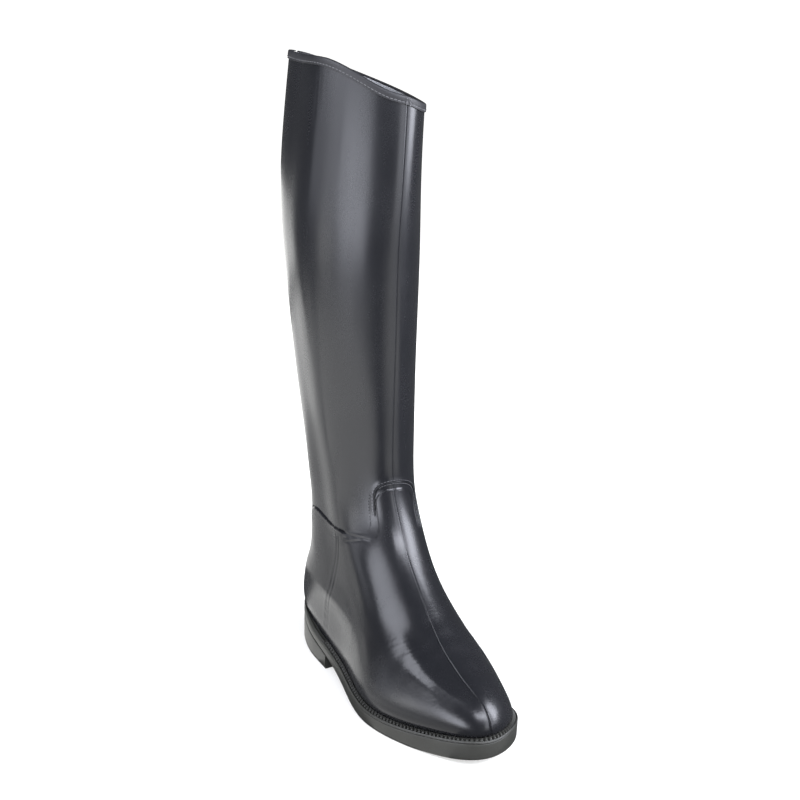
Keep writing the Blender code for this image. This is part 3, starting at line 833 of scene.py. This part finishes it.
def make_gusset():
    u, v = gusset_surface(GUSSET_OVERLAP, 90, 56, RIM)
    p, n, _ = skin_frame(u, v)
    near = -(WALL + GUSSET_GAP)
    z = p[..., 2]
    slack = 0.25 * np.sin(z / 31 + 0.4) * np.sin(u * 6.0 + 0.8)
    outer = p + (near - 0.25 + slack * 0.5)[..., None] * n
    inner = p + (near - 0.25 - GUSSET_THICK + slack * 0.5)[..., None] * n
    verts, faces = slab_parts(outer, inner)
    arc, tall = arc_columns(outer), z * MM
    front = grid_uv(arc, tall)
    rest = np.zeros((4 * len(faces) - 2 * len(front), 2))
    back = front.reshape(-1, 4, 2)[:, ::-1].reshape(-1, 2)
    cloth = finish_mesh("gusset_elastic", verts, faces, ELASTIC, ["gusset"], uv=np.concatenate([front, back, rest]), outward=True)

    # Narrow hem folded over the textile's upper edge.
    u = u[-1]
    t = np.linspace(0, 1, len(u))
    inside = (t > 0.08) & (t < 0.92)
    u = np.linspace(u[inside][0], u[inside][-1], 60)
    p, n, up = skin_frame(u, np.full(len(u), V_TOP))
    profile = [(0.35, -4.2), (0.55, -3.9), (0.55, -0.8), (0.30, -0.25), (-0.7, -0.05), (-1.7, -0.25), (-1.95, -0.8), (-1.95, -3.9), (-1.75, -4.2), (-1.55, -4.2), (-1.55, -1.4), (0.0, -1.4), (0.15, -4.2)]
    rings = np.stack([p + (near - 0.25 + a) * n + b * up for a, b in profile], 1)
    m, k = rings.shape[:2]
    faces = grid_faces(m, k, closed_columns=True) + [list(range(k))[::-1], list(range((m - 1) * k, m * k))]
    hem = finish_mesh("gusset_hem", rings.reshape(-1, 3), faces, STRIP)


def make_lining():
    us = np.linspace(0, U_TURN, 150, endpoint=False)
    vs = np.concatenate([runs((0.06, 3.0, 0.12), (3.0, 7.0, 0.2), (7.0, 16.3, 0.35))])
    u, v = np.meshgrid(us, vs)
    around = np.where(us > 5, us - U_TURN, us)
    elastic = smooth(-0.8, -0.5, around) * (1 - smooth(0.8, 1.1, around))
    top = under_collar(us, 1.35 + 26 * elastic)
    v = np.vstack([np.minimum(v, top - 0.05), top])
    u = np.vstack([u, us])
    p, n, _ = skin_frame(u, v)
    across, _ = GUSSET_LINE.beside(p.reshape(-1, 3), 40)
    z, med, lat = gusset_rows(60)
    height = p[..., 2]
    turn = np.where(u > 5, u - U_TURN, u)
    within = (height > z[0]) & (turn > np.interp(height, z, med)) & (turn < np.interp(height, z, lat))
    away = np.where(within, 0.0, np.minimum(np.abs(across.reshape(u.shape)), 50.0))
    behind = 1 - smooth(9.0, 14.0, away)
    far = WALL + 0.25 + behind * (GUSSET_GAP + GUSSET_THICK + 0.45)
    outer = p - far[..., None] * n
    inner = p - (far + 0.5)[..., None] * n
    rings = np.concatenate([inner, outer[::-1]])
    m, k = len(rings), len(us)
    faces = grid_faces(m, k, closed_rows=True, closed_columns=True)
    shut = np.concatenate([rings, rings[:, :1]], 1)
    shut = np.concatenate([shut, shut[:1]], 0)
    uv = grid_uv(arc_columns(shut), shut[..., 2] * MM)
    knit = finish_mesh("knit_lining", rings.reshape(-1, 3), faces, LINING, uv=uv)


def make_collar_band():
    edge = np.array(GUSSET_EDGE, float)
    start = np.interp(500.0, edge[:, 0], edge[:, 2])
    end = U_TURN + np.interp(492.0, edge[:, 0], edge[:, 1])
    u = np.linspace(start, end, 260)
    p, n, up = skin_frame(u, np.full(len(u), V_TOP))
    lip = RIM - GAP
    profile = [
        (GAP, -BINDING_TALL + 0.1),
        (0.75, -BINDING_TALL),
        (BINDING_PROUD - 0.06, -BINDING_TALL + 0.12),
        (BINDING_PROUD + 0.02, -BINDING_TALL + 0.5),
        (BINDING_PROUD - 0.04, -BINDING_TALL + 1.3),
        (BINDING_PROUD - 0.12, -BINDING_TALL + 1.7),
        (BINDING_PROUD - 0.03, -BINDING_TALL + 2.2),
        (BINDING_PROUD + 0.05, -4.0),
        (BINDING_PROUD + 0.03, -2.0),
        (BINDING_PROUD - 0.05, -0.9),
        (BINDING_PROUD - 0.35, -0.30),
        (BINDING_PROUD - 0.9, 0.0),
        (-0.8, 0.05),
        (-WALL + 0.35, -0.12),
        (-WALL - 0.05, -0.5),
        (-WALL, -lip),
        (GAP, -lip),
    ]
    rings = np.stack([p + a * n + b * up for a, b in profile], 1)
    joint = bell((u - 5.0) * 33, 1.1) * 0.5
    m, k = rings.shape[:2]
    rings[:, 1:12] += (joint[:, None, None] * n[:, None]) * 1.0
    faces = grid_faces(m, k, closed_columns=True) + [list(range(k))[::-1], list(range((m - 1) * k, m * k))]
    finish_mesh("collar_band", rings.reshape(-1, 3), faces, STRIP, ["collar_binding"])
    return p, n, up, u


def make_back_strip():
    z = np.linspace(STAY_FROM, STAY_TO, 120)
    side = np.concatenate([[-8.0, -7.85, -7.4, -6.8, -6.2, -5.6], np.linspace(-5, 5, 9), [5.6, 6.2, 6.8, 7.4, 7.85, 8.0]])[::-1]
    rise = np.interp(np.abs(side), [0, 5, 5.6, 6.2, 6.8, 7.4, 7.85, 8.0], [1.2, 1.2, 1.15, 0.95, 1.15, 1.2, 1.0, 0.55])
    outer, inner = [], []
    for level in z:
        v0 = v_at_height(np.zeros(1), np.array([level]))
        narrow = 1.0 + 0.06 * smooth(150, 300, level)
        u = side * narrow * 0.97 * u_per_mm(np.zeros(1), v0)
        v = v_at_height(u, np.full(len(u), level))
        p, n, _ = skin_frame(u, v)
        inner.append(p + 0.12 * n)
        outer.append(p + rise[:, None] * n)
    verts, faces = slab_parts(np.array(outer), np.array(inner))
    finish_mesh("back_strip", verts, faces, STRIP, ["back_stay"])


make_gusset()
make_lining()
COLLAR_P, COLLAR_N, COLLAR_UP, COLLAR_U = make_collar_band()
make_back_strip()

# ---------------------------------------------------------------- stitches


def threads(name, groups, length=2.3, width=0.62, height=0.42, slant=0.0):
    """Short stitches: each of the groups is points, normals and tangents of stitch middles."""
    xs = np.array([-0.5, -0.36, -0.12, 0.12, 0.36, 0.5]) * length
    size = np.array([0.42, 0.85, 1.0, 1.0, 0.85, 0.42])
    drop = np.array([-0.28, -0.05, 0.10, 0.10, -0.05, -0.28])
    turn = np.linspace(0, 2 * np.pi, 7)[:-1]
    ring = np.stack([np.cos(turn) * width / 2, np.sin(turn) * height / 2], -1)
    m, k = len(xs), len(turn)
    base = grid_faces(m, k, closed_columns=True) + [list(range(k))[::-1], list(range((m - 1) * k, m * k))]
    verts, faces = [], []
    for p, n, t in groups:
        b = unit(np.cross(n, t))
        t2 = unit(t + slant * b)
        b2 = unit(np.cross(n, t2))
        local = p[:, None, None] + xs[None, :, None, None] * t2[:, None, None]
        local = local + (size[:, None] * ring[None, :, 0])[None, :, :, None] * b2[:, None, None]
        local = local + (size[:, None] * ring[None, :, 1] + drop[:, None])[None, :, :, None] * n[:, None, None]
        for stitch in local.reshape(len(p), m * k, 3):
            faces += [[i + len(verts) * m * k for i in face] for face in base]
            verts.append(stitch)
    return finish_mesh(name, np.concatenate(verts), faces, THREAD, sharp=60)


def along(line, pitch, side=0.0, lift=0.0, start=0.0, end=0.0):
    """Stitch middles beside a line on the skin."""
    at = np.arange(start + pitch / 2, line.length - end, pitch)
    p, n, t = line.at(at)
    b = unit(np.cross(n, t))
    return p + side * b + lift * n, n, t


def stitch_collar():
    s = np.concatenate([[0], np.cumsum(np.linalg.norm(np.diff(COLLAR_P, axis=0), axis=1))])
    at = np.arange(3.0, s[-1] - 2.5, 3.1)
    pick = lambda x: np.stack([np.interp(at, s, x[:, i]) for i in range(3)], -1)
    n, up = unit(pick(COLLAR_N)), unit(pick(COLLAR_UP))
    t = unit(np.gradient(pick(COLLAR_P), axis=0))
    row = (pick(COLLAR_P) + (BINDING_PROUD + 0.02) * n - (BINDING_TALL - 1.7) * up, n, t)
    k = np.abs(COLLAR_U - 5.0).argmin()
    high = np.array([-2.2, -4.4, -6.2])
    cross = []
    for shift in (-1.7, 1.7):
        p = COLLAR_P[k] + (BINDING_PROUD + 0.25) * COLLAR_N[k] + high[:, None] * COLLAR_UP[k] + shift * unit(COLLAR_P[k + 1] - COLLAR_P[k])
        cross.append((p, np.repeat(COLLAR_N[k : k + 1], 3, 0), np.repeat(COLLAR_UP[k : k + 1], 3, 0)))
    threads("collar_stitches", [row] + cross, length=2.2)


def stitch_gusset():
    threads("gusset_stitches", [along(GUSSET_LINE, 3.0, side=-3.6, lift=-0.05, start=1.0, end=1.0)], length=2.2)


def stitch_strip():
    groups = []
    for edge in (-6.2, 6.2):
        z = np.arange(STAY_FROM + 2.5, STAY_TO - 1.0, 3.0)
        v0 = v_at_height(np.zeros(len(z)), z)
        u = edge * u_per_mm(np.zeros(len(z)), v0)
        v = v_at_height(u, z)
        p, n, up = skin_frame(u, v)
        groups.append((p + 1.10 * n, n, up))
    threads("strip_stitches", groups, length=2.2)
    # Zigzag under the strip's lower end.
    x = np.array([-5.2, -3.1, -1.0, 1.1, 3.2, 5.3])
    v0 = v_at_height(np.zeros(1), np.array([125.3]))
    u = x * u_per_mm(np.zeros(1), v0)
    v = v_at_height(u, 125.3 + 1.1 * np.cos(np.arange(len(x)) * np.pi))
    p, n, up = skin_frame(u, v)
    sideways = unit(np.cross(up, n))
    lean = np.where(np.arange(len(x)) % 2 == 0, 1.0, -1.0)[:, None]
    threads("strip_end_stitches", [(p + 0.1 * n, n, unit(up + 0.9 * lean * sideways))], length=3.4, width=0.7)


def ribs_along(name, parts):
    """Fine moulded ribs beside lines on the skin; each part is line, side, radius, lift, start and end."""
    turn = np.linspace(0, 2 * np.pi, 9)[:-1]
    verts, faces, count = [], [], 0
    for line, side, radius, lift, start, end in parts:
        at = np.linspace(start, line.length - end, int((line.length - start - end) / 0.8) + 2)
        p, n, t = line.at(at)
        b = unit(np.cross(n, t))
        taper = smooth(-0.3, 3.0, at - start) * smooth(-0.3, 3.0, at[-1] - at)
        p = p + side * b + (lift - radius * (1 - taper))[:, None] * n
        size = radius * (0.35 + 0.65 * taper)
        ring = p[:, None] + size[:, None, None] * (np.cos(turn)[None, :, None] * b[:, None] + np.sin(turn)[None, :, None] * n[:, None])
        m, k = ring.shape[:2]
        base = grid_faces(m, k, closed_columns=True) + [list(range(k))[::-1], list(range((m - 1) * k, m * k))]
        faces += [[i + count for i in face] for face in base]
        verts.append(ring.reshape(-1, 3))
        count += m * k
    return finish_mesh(name, np.concatenate(verts), faces, RUBBER, sharp=60)


def stitch_lines():
    ribs_along(
        "vamp_ribs",
        [
            (TONGUE_OUTER, 0.0, 0.46, 0.12, 0.5, 0.5),
            (TONGUE_INNER, 0.0, 0.50, 0.02, 0.5, 0.5),
            (TONGUE_FAINT, 0.0, 0.30, 0.02, 0.5, 0.5),
            (FRONT_SEAM, -0.2, 0.21, 0.03, FRONT_SEAM.s[(FRONT_SEAM.v > 2.95).sum()], FRONT_SEAM.length - FRONT_SEAM.s[(FRONT_SEAM.v > 1.20).sum()]),
        ],
    )
    groups = [along(TONGUE_OUTER, 2.5, side=1.5, lift=0.18, start=2, end=3)]
    groups.append(along(TONGUE_OUTER, 2.5, side=-1.2, lift=-0.45, start=26, end=3))
    groups.append(along(TONGUE_FAINT, 2.5, side=0.0, lift=0.15, start=2, end=8))
    threads("vamp_stitches", groups, length=1.8, width=0.48, height=0.40)
    groups = [along(COUNTER_TOP_LAT, 3.2, side=-4.0, lift=0.22, start=2, end=62)]
    groups.append(along(COUNTER_TOP_MED, 3.2, side=-4.0, lift=0.22, start=62, end=2))
    threads("counter_stitches", groups, length=2.0, width=0.5, height=0.34)


stitch_collar()
stitch_gusset()
stitch_strip()
stitch_lines()

# ---------------------------------------------------------------- sole


def sole_turns(half):
    """u evenly spaced round the feather line, half of them on each side, from the back by the lateral side."""
    out = []
    for a, b in ((0, 5), (5, 10)):
        u = np.linspace(a, b, 4000)
        p = skin(u, np.zeros(len(u)))
        s = np.concatenate([[0], np.cumsum(np.linalg.norm(np.diff(p, axis=0), axis=1))])
        out.append(np.interp(np.linspace(0, s[-1], half, endpoint=False), s, u))
    return np.concatenate(out)


HALF = 1000
SOLE_U = sole_turns(HALF)
SOLE_P, SOLE_N, _ = skin_frame(SOLE_U, np.zeros(len(SOLE_U)))
SOLE_FLAT = unit(SOLE_N[:, :2])
SOLE_S = np.concatenate([[0], np.cumsum(np.linalg.norm(np.diff(SOLE_P[:, :2], axis=0), axis=1))])


def feather_loop(offset):
    return SOLE_P[:, :2] + np.broadcast_to(offset, len(SOLE_P))[:, None] * SOLE_FLAT


def ledge(f):
    t = np.clip((f - LEDGE_FROM) / (LEDGE_TO - LEDGE_FROM), 0, 1)
    return LEDGE_HEEL + (LEDGE_FORE - LEDGE_HEEL) * t * t * (3 - 2 * t)


def tread_height(f):
    rise = feather_height(HEEL_BREAST) - SEAT
    arch = rise * np.clip((TREAD_FROM - f) / (TREAD_FROM - HEEL_BREAST), 0, 1) ** ARCH_POWER
    toe = TOE_SPRING * np.clip((f - TREAD_TO) / (TOE_END - TREAD_TO), 0, 1.2) ** TOE_POWER
    return np.where(f < HEEL_BREAST, feather_height(f) - SEAT, arch + toe)


EDGE = ledge(SOLE_P[:, 1])
FORE = smooth(72, 82, SOLE_P[:, 1])
START = smooth(50, 64, SOLE_P[:, 1]) * (1 - smooth(74, 80, SOLE_P[:, 1]))


def sole_ring(offset, height):
    flat = feather_loop(offset)
    return np.column_stack([flat, height(flat[:, 1])])


def make_welt():
    """Rim between upper and sole: ribbed across the ledge at the forefoot, a plain bead round the heel."""
    slope = WELT_DROP * EDGE / LEDGE_FORE
    pitch = 3.4
    phase = SOLE_S / pitch
    rib = np.sqrt(np.clip(1 - (2.5 * np.abs(phase - np.floor(phase) - 0.5)) ** 2, 0, 1))
    rings = []

    def ring(offset, below):
        flat = feather_loop(offset)
        rings.append(np.column_stack([flat, feather_height(flat[:, 1]) - below]))

    ring(np.full(len(EDGE), GAP), LASTING)
    for t in np.linspace(0, 1, 19):
        x = GAP + t * (EDGE - 0.25 - GAP)
        below = 0.2 + slope * t
        ribbed = smooth(0.05, 0.16, t) * (1 - smooth(0.60, 0.70, t))
        below = below - FORE * ribbed * (3.0 * rib - 2.0)
        below = below + FORE * 1.3 * bell(t - 0.76, 0.06) - FORE * 0.75 * bell(t - 0.91, 0.05)
        gutter = bell(t - 0.10, 0.12) * (1 - FORE)
        crest = bell(t - 0.62, 0.20) * (1 - FORE)
        below = below + 0.9 * gutter - 0.55 * crest + 2.0 * START * bell(t - 0.26, 0.20)
        ring(x, below)
    ring(EDGE - 0.06, slope + 0.42)
    ring(EDGE, slope + 0.75)
    ring(EDGE - 0.02, np.full(len(EDGE), LASTING - 0.35))
    ring(EDGE - 0.3, np.full(len(EDGE), LASTING))
    rings = np.array(rings)
    faces = grid_faces(len(rings), len(EDGE), closed_rows=True, closed_columns=True)
    finish_mesh("welt_ribbed", rings.reshape(-1, 3), faces, SOLE, ["welt"], sharp=50)


def ladder(ring, columns, shape):
    """Points between a ring's lateral and medial halves, in rows across it, put through shape."""
    n = len(ring)
    h = n // 2
    lat, med = ring[1:h], ring[:h:-1]
    t = np.linspace(0, 1, columns + 2)[1:-1]
    inside = lat[:, None] + (med - lat)[:, None] * t[None, :, None]
    inside = shape(inside)
    return inside


def filled(name, rings, columns, shape, mat, replaces, top_fill=True, sharp=40):
    """Stack of rings; the last is filled with a shaped grid, the first with plain rungs."""
    rings = np.array(rings)
    m, n = rings.shape[:2]
    h = n // 2
    verts = [rings.reshape(-1, 3)]
    faces = grid_faces(m, n, closed_columns=True)

    def fill(start, ring, count, form, flip):
        inside = ladder(ring, count, form)
        base = sum(len(v) for v in verts)
        verts.append(inside.reshape(-1, 3))
        new = []
        index = np.empty((h - 1, count + 2), int)
        index[:, 0] = start + np.arange(1, h)
        index[:, -1] = start + np.arange(n - 1, h, -1)
        index[:, 1:-1] = base + np.arange((h - 1) * count).reshape(h - 1, count)
        for a, b in zip(index[:-1], index[1:]):
            new += [[a[i], a[i + 1], b[i + 1], b[i]] for i in range(count + 1)]
        new.append([start] + list(index[0]))
        new.append(list(index[-1][::-1]) + [start + h])
        return [f[::-1] for f in new] if flip else new

    faces += fill((m - 1) * n, rings[-1], columns, shape, True)
    faces += fill(0, rings[0], 1, lambda x: x, False)
    faces = [[int(i) for i in f] for f in faces]
    return finish_mesh(name, np.concatenate(verts), faces, mat, replaces, sharp=sharp)


def make_outsole():
    def top(f):
        return feather_height(f) - LASTING - GAP

    def part(share, inset):
        return sole_ring(EDGE - inset, lambda f: top(f) - 0.6 - share * (top(f) - 0.6 - tread_height(f) - 2.0))

    def tread(x):
        r, f, z = x[..., 0], x[..., 1], x[..., 2]
        bars = bell(((f + 0.004 * r**2) / 9.0 - np.round((f + 0.004 * r**2) / 9.0)) * 9.0, 1.5)
        ground = smooth(150, 160, f) * (1 - smooth(258, 264, f))
        waist = smooth(88, 96, f) * (1 - smooth(128, 140, f))
        rim = smooth(0.06, 0.12, np.linspace(0, 1, x.shape[1] + 2)[1:-1]) * (1 - smooth(0.88, 0.94, np.linspace(0, 1, x.shape[1] + 2)[1:-1]))
        lift = (1.6 * bars * ground + 0.5 * waist) * rim
        return np.stack([r, f, z + lift], -1)

    rings = [
        sole_ring(EDGE - 1.0, top),
        sole_ring(EDGE - 0.45, lambda f: top(f) - 0.08),
        sole_ring(EDGE - 0.18, lambda f: top(f) - 0.30),
        sole_ring(EDGE - 0.10, lambda f: top(f) - 0.6),
        part(0.25, 0.04),
        part(0.5, 0.02),
        part(0.75, 0.06),
        sole_ring(EDGE - 0.15, lambda f: tread_height(f) + 2.0),
        sole_ring(EDGE - 0.32, lambda f: tread_height(f) + 1.2),
        sole_ring(EDGE - 0.70, lambda f: tread_height(f) + 0.55),
        sole_ring(EDGE - 1.15, lambda f: tread_height(f) + 0.15),
        sole_ring(EDGE - 1.7, tread_height),
    ]
    filled("sole_moulded", rings, 26, tread, SOLE, ["outsole"])


def make_heel():
    steps = 1 - np.cos(np.linspace(0, np.pi / 2, 90))
    half = len(SOLE_U) // 2

    def outline(offset):
        loop = feather_loop(EDGE - offset)
        lat, med = loop[: half + 1], np.vstack([loop[:1], loop[: half - 1 : -1]])
        back = loop[0]
        f = back[1] + (HEEL_BREAST - back[1]) * steps
        sides = [np.column_stack([np.interp(f, s[:, 1], s[:, 0]), f]) for s in (lat, med)]
        front = np.array([[(sides[0][-1, 0] + sides[1][-1, 0]) / 2, HEEL_BREAST]])
        return np.vstack([back[None], sides[0][1:], front, sides[1][:0:-1]])

    def ring(offset, height):
        flat = outline(offset)
        return np.column_stack([flat, np.broadcast_to(height(flat[:, 1]), len(flat))])

    def seat(f):
        return feather_height(f) - SEAT - GAP

    def between(share, inset):
        return ring(HEEL_INSET + inset, lambda f: 1.2 + share * (seat(f) - 1.6 - 1.2))

    def tread(x):
        r, f, z = x[..., 0], x[..., 1], x[..., 2]
        bars = bell((f / 8.0 - np.round(f / 8.0)) * 8.0, 1.3) * smooth(8, 12, f) * (1 - smooth(66, 69, f))
        across = np.linspace(0, 1, x.shape[1] + 2)[1:-1]
        rim = smooth(0.08, 0.15, across) * (1 - smooth(0.85, 0.92, across))
        return np.stack([r, f, z + 1.6 * bars * rim], -1)

    rings = [
        ring(HEEL_INSET + 0.7, seat),
        ring(HEEL_INSET + 0.25, lambda f: seat(f) - 0.18),
        ring(HEEL_INSET + 0.02, lambda f: seat(f) - 0.6),
        ring(HEEL_INSET - 0.05, lambda f: seat(f) - 1.6),
        between(0.8, -0.05),
        between(0.5, 0.0),
        between(0.2, 0.08),
        ring(HEEL_INSET + 0.15, lambda f: 1.2 + 0 * f),
        ring(HEEL_INSET + 0.30, lambda f: 0.55 + 0 * f),
        ring(HEEL_INSET + 0.60, lambda f: 0.15 + 0 * f),
        ring(HEEL_INSET + 1.0, lambda f: 0 * f),
    ]
    filled("heel_block", rings, 22, tread, SOLE, ["heel"], sharp=35)


def make_footbed():
    inset = -(WALL + INSOLE_CLEAR)
    pick = np.arange(0, len(SOLE_U), 8)

    def ring(offset, up):
        flat = feather_loop(offset)[pick]
        return np.column_stack([flat, feather_height(flat[:, 1]) - LASTING + up])

    def crown(x):
        t = np.linspace(0, 1, x.shape[1] + 2)[1:-1]
        dish = -0.5 * np.sin(np.pi * t) * (1 - smooth(60, 120, x[..., 1]))
        return np.stack([x[..., 0], x[..., 1], x[..., 2] + dish], -1)

    rings = [ring(inset - 0.3, 0.0), ring(inset, 0.3), ring(inset, INSOLE_THICK - 0.6), ring(inset - 0.3, INSOLE_THICK - 0.15), ring(inset - 1.0, INSOLE_THICK)]
    bed = filled("footbed_knit", rings, 16, crown, FOOTBED, ["insole"])


make_welt()
make_outsole()
make_heel()
make_footbed()

# ---------------------------------------------------------------- stage, light, camera


def floor_paint():
    """Pale table that glows, as painted light: its emission grows away from the boot and is weaker close to it, a
    painted shade there, so that only soft contact shadows stay.
    """
    m = Paint("pale_floor_painted_glow")
    cloud = m.noise(1.5, 2)
    away = m.node("VectorMath", 1, props={"operation": "LENGTH"}, i0=m.place())
    m.set(Base_Color=m.ramp(cloud, (0.3, (0.49, 0.485, 0.465)), (0.7, (0.51, 0.505, 0.485))))
    # Painted light: the floor glows, with emission 0.5 near the boot rising to 1.06 away from it, which paints a darker
    # ring round the boot.
    m.set(Roughness=0.9, Specular_IOR_Level=0.1, Emission_Color=(1.0, 0.998, 0.985, 1.0))
    m.set(Emission_Strength=m.remap(away, 0.08, 0.40, 0.50, 1.06))
    return m.mat


def make_floor():
    n = 21
    x = np.linspace(-30, 30, n)
    verts = [(float(a), float(b), -0.0002) for b in x for a in x]
    mesh = bpy.data.meshes.new("floor")
    mesh.from_pydata(verts, [], grid_faces(n, n))
    mesh.materials.append(floor_paint())
    obj = bpy.data.objects.new("floor", mesh)
    bpy.context.scene.collection.objects.link(obj)
    obj.visible_glossy = False


def softbox(name, azimuth, distance, low, high, wide, glow, colour=(1, 1, 1), aim=0.28):
    """Rectangular light that stands round the boot: azimuth in degrees from the toe's direction, glow its radiance."""
    a = math.radians(azimuth)
    light = bpy.data.lights.new(name, "AREA")
    light.shape = "RECTANGLE"
    light.size, light.size_y = wide, high - low
    light.energy = glow * math.pi * wide * (high - low)
    light.color = colour
    obj = bpy.data.objects.new(name, light)
    bpy.context.scene.collection.objects.link(obj)
    centre = Vector((math.sin(a) * distance, -math.cos(a) * distance, (low + high) / 2))
    target = Vector((0, 0, centre.z if aim is None else aim))
    obj.location = centre
    obj.rotation_mode = "QUATERNION"
    obj.rotation_quaternion = (target - centre).to_track_quat("-Z", "Y")
    obj.visible_camera = False
    return obj


def table_light(name, azimuth, near, far, wide, glow, colour=(1, 1, 1)):
    """Rectangular light that lies on the table and shines up."""
    a = math.radians(azimuth)
    light = bpy.data.lights.new(name, "AREA")
    light.shape = "RECTANGLE"
    light.size, light.size_y = wide, far - near
    light.energy = glow * math.pi * wide * (far - near)
    light.color = colour
    obj = bpy.data.objects.new(name, light)
    bpy.context.scene.collection.objects.link(obj)
    middle = (near + far) / 2
    obj.location = (math.sin(a) * middle, -math.cos(a) * middle, 0.002)
    obj.rotation_euler = (math.pi, 0.0, a)
    obj.visible_camera = False
    return obj


def leaning(name, x_low, z_low, x_high, z_high, middle, wide, glow, colour=(1, 1, 1)):
    """Rectangular light on the lateral side that leans over the foot."""
    rise = Vector((x_high - x_low, 0, z_high - z_low))
    obj = softbox(name, 0, 0.0, 0.0, rise.length, wide, glow, colour)
    obj.location = ((x_low + x_high) / 2, middle, (z_low + z_high) / 2)
    obj.rotation_quaternion = Vector((rise.z, 0, -rise.x)).to_track_quat("-Z", "Y")
    return obj


def make_lights():
    cool = (0.945, 0.97, 1.075)
    plain = (1.0, 1.0, 0.985)
    softbox("left_low", -67, 1.15, 0.00, 0.33, 0.44, 7.6, cool, aim=None)
    softbox("left_next", -93, 1.15, 0.00, 0.16, 0.36, 4.0, plain, aim=None)
    softbox("left_far", -74, 2.00, 0.02, 0.46, 1.50, 1.5, cool, aim=None)
    softbox("left_wide", -87, 2.00, 0.02, 0.46, 2.60, 2.0, cool, aim=None)
    leaning("left_high", -0.90, 0.50, -0.42, 1.25, 0.035, 0.51, 7.8, cool)
    softbox("right_broad", 32, 0.97, 0.18, 1.65, 1.32, 4.0, cool, aim=None)
    softbox("right_core", 61, 0.90, 0.28, 1.00, 0.46, 13.0, cool, aim=None)
    softbox("front_core", -2, 0.92, 0.72, 1.12, 0.95, 16.0, cool, aim=None)
    softbox("front_low", 6, 0.85, 0.00, 0.30, 0.45, 1.0, plain, aim=None)
    softbox("back_low", 180, 1.10, 0.00, 0.22, 0.90, 3.0, plain, aim=None)
    table_light("left_near", -98, 0.09, 0.30, 0.62, 0.6, plain)
    table_light("heel_near", -140, 0.065, 0.22, 0.15, 1.4, plain)
    table_light("ball_near", -60, 0.075, 0.16, 0.20, 1.0, plain)
    table_light("left_table", -90, 0.30, 0.85, 0.66, 2.6, plain)
    table_light("left_back", -133, 0.50, 0.95, 0.34, 1.4, plain)
    table_light("front_table", 14, 0.50, 0.95, 1.05, 1.9, plain)
    table_light("back_near", 180, 0.25, 0.50, 0.60, 1.1, plain)
    table_light("back_table", 180, 0.50, 0.95, 0.70, 2.3, plain)
    back = bpy.data.worlds.new("studio")
    back.use_nodes = True
    shade = back.node_tree.nodes["Background"]
    shade.inputs["Color"].default_value = (0.93, 0.96, 1.0, 1.0)
    shade.inputs["Strength"].default_value = 0.12
    bpy.context.scene.world = back


def make_camera():
    az, el, roll = math.radians(-31.81), math.radians(19.39), math.radians(2.18)
    away = 1.19134
    target = Vector((-0.00287, -0.00764, 0.25317))
    back = Vector((math.sin(az) * math.cos(el), -math.cos(az) * math.cos(el), math.sin(el)))
    right = (-back).cross(Vector((0, 0, 1))).normalized()
    up = right.cross(-back)
    x = right * math.cos(roll) + up * math.sin(roll)
    y = up * math.cos(roll) - right * math.sin(roll)
    data = bpy.data.cameras.new("camera")
    data.sensor_width, data.lens = 36.0, 68.43
    data.clip_start, data.clip_end = 0.01, 100.0
    cam = bpy.data.objects.new("camera", data)
    bpy.context.scene.collection.objects.link(cam)
    place = target + back * away
    cam.matrix_world = Matrix(((x.x, y.x, back.x, place.x), (x.y, y.y, back.y, place.y), (x.z, y.z, back.z, place.z), (0, 0, 0, 1)))
    bpy.context.scene.camera = cam


make_floor()
make_lights()
make_camera()
bpy.context.scene.view_settings.view_transform = "Standard"
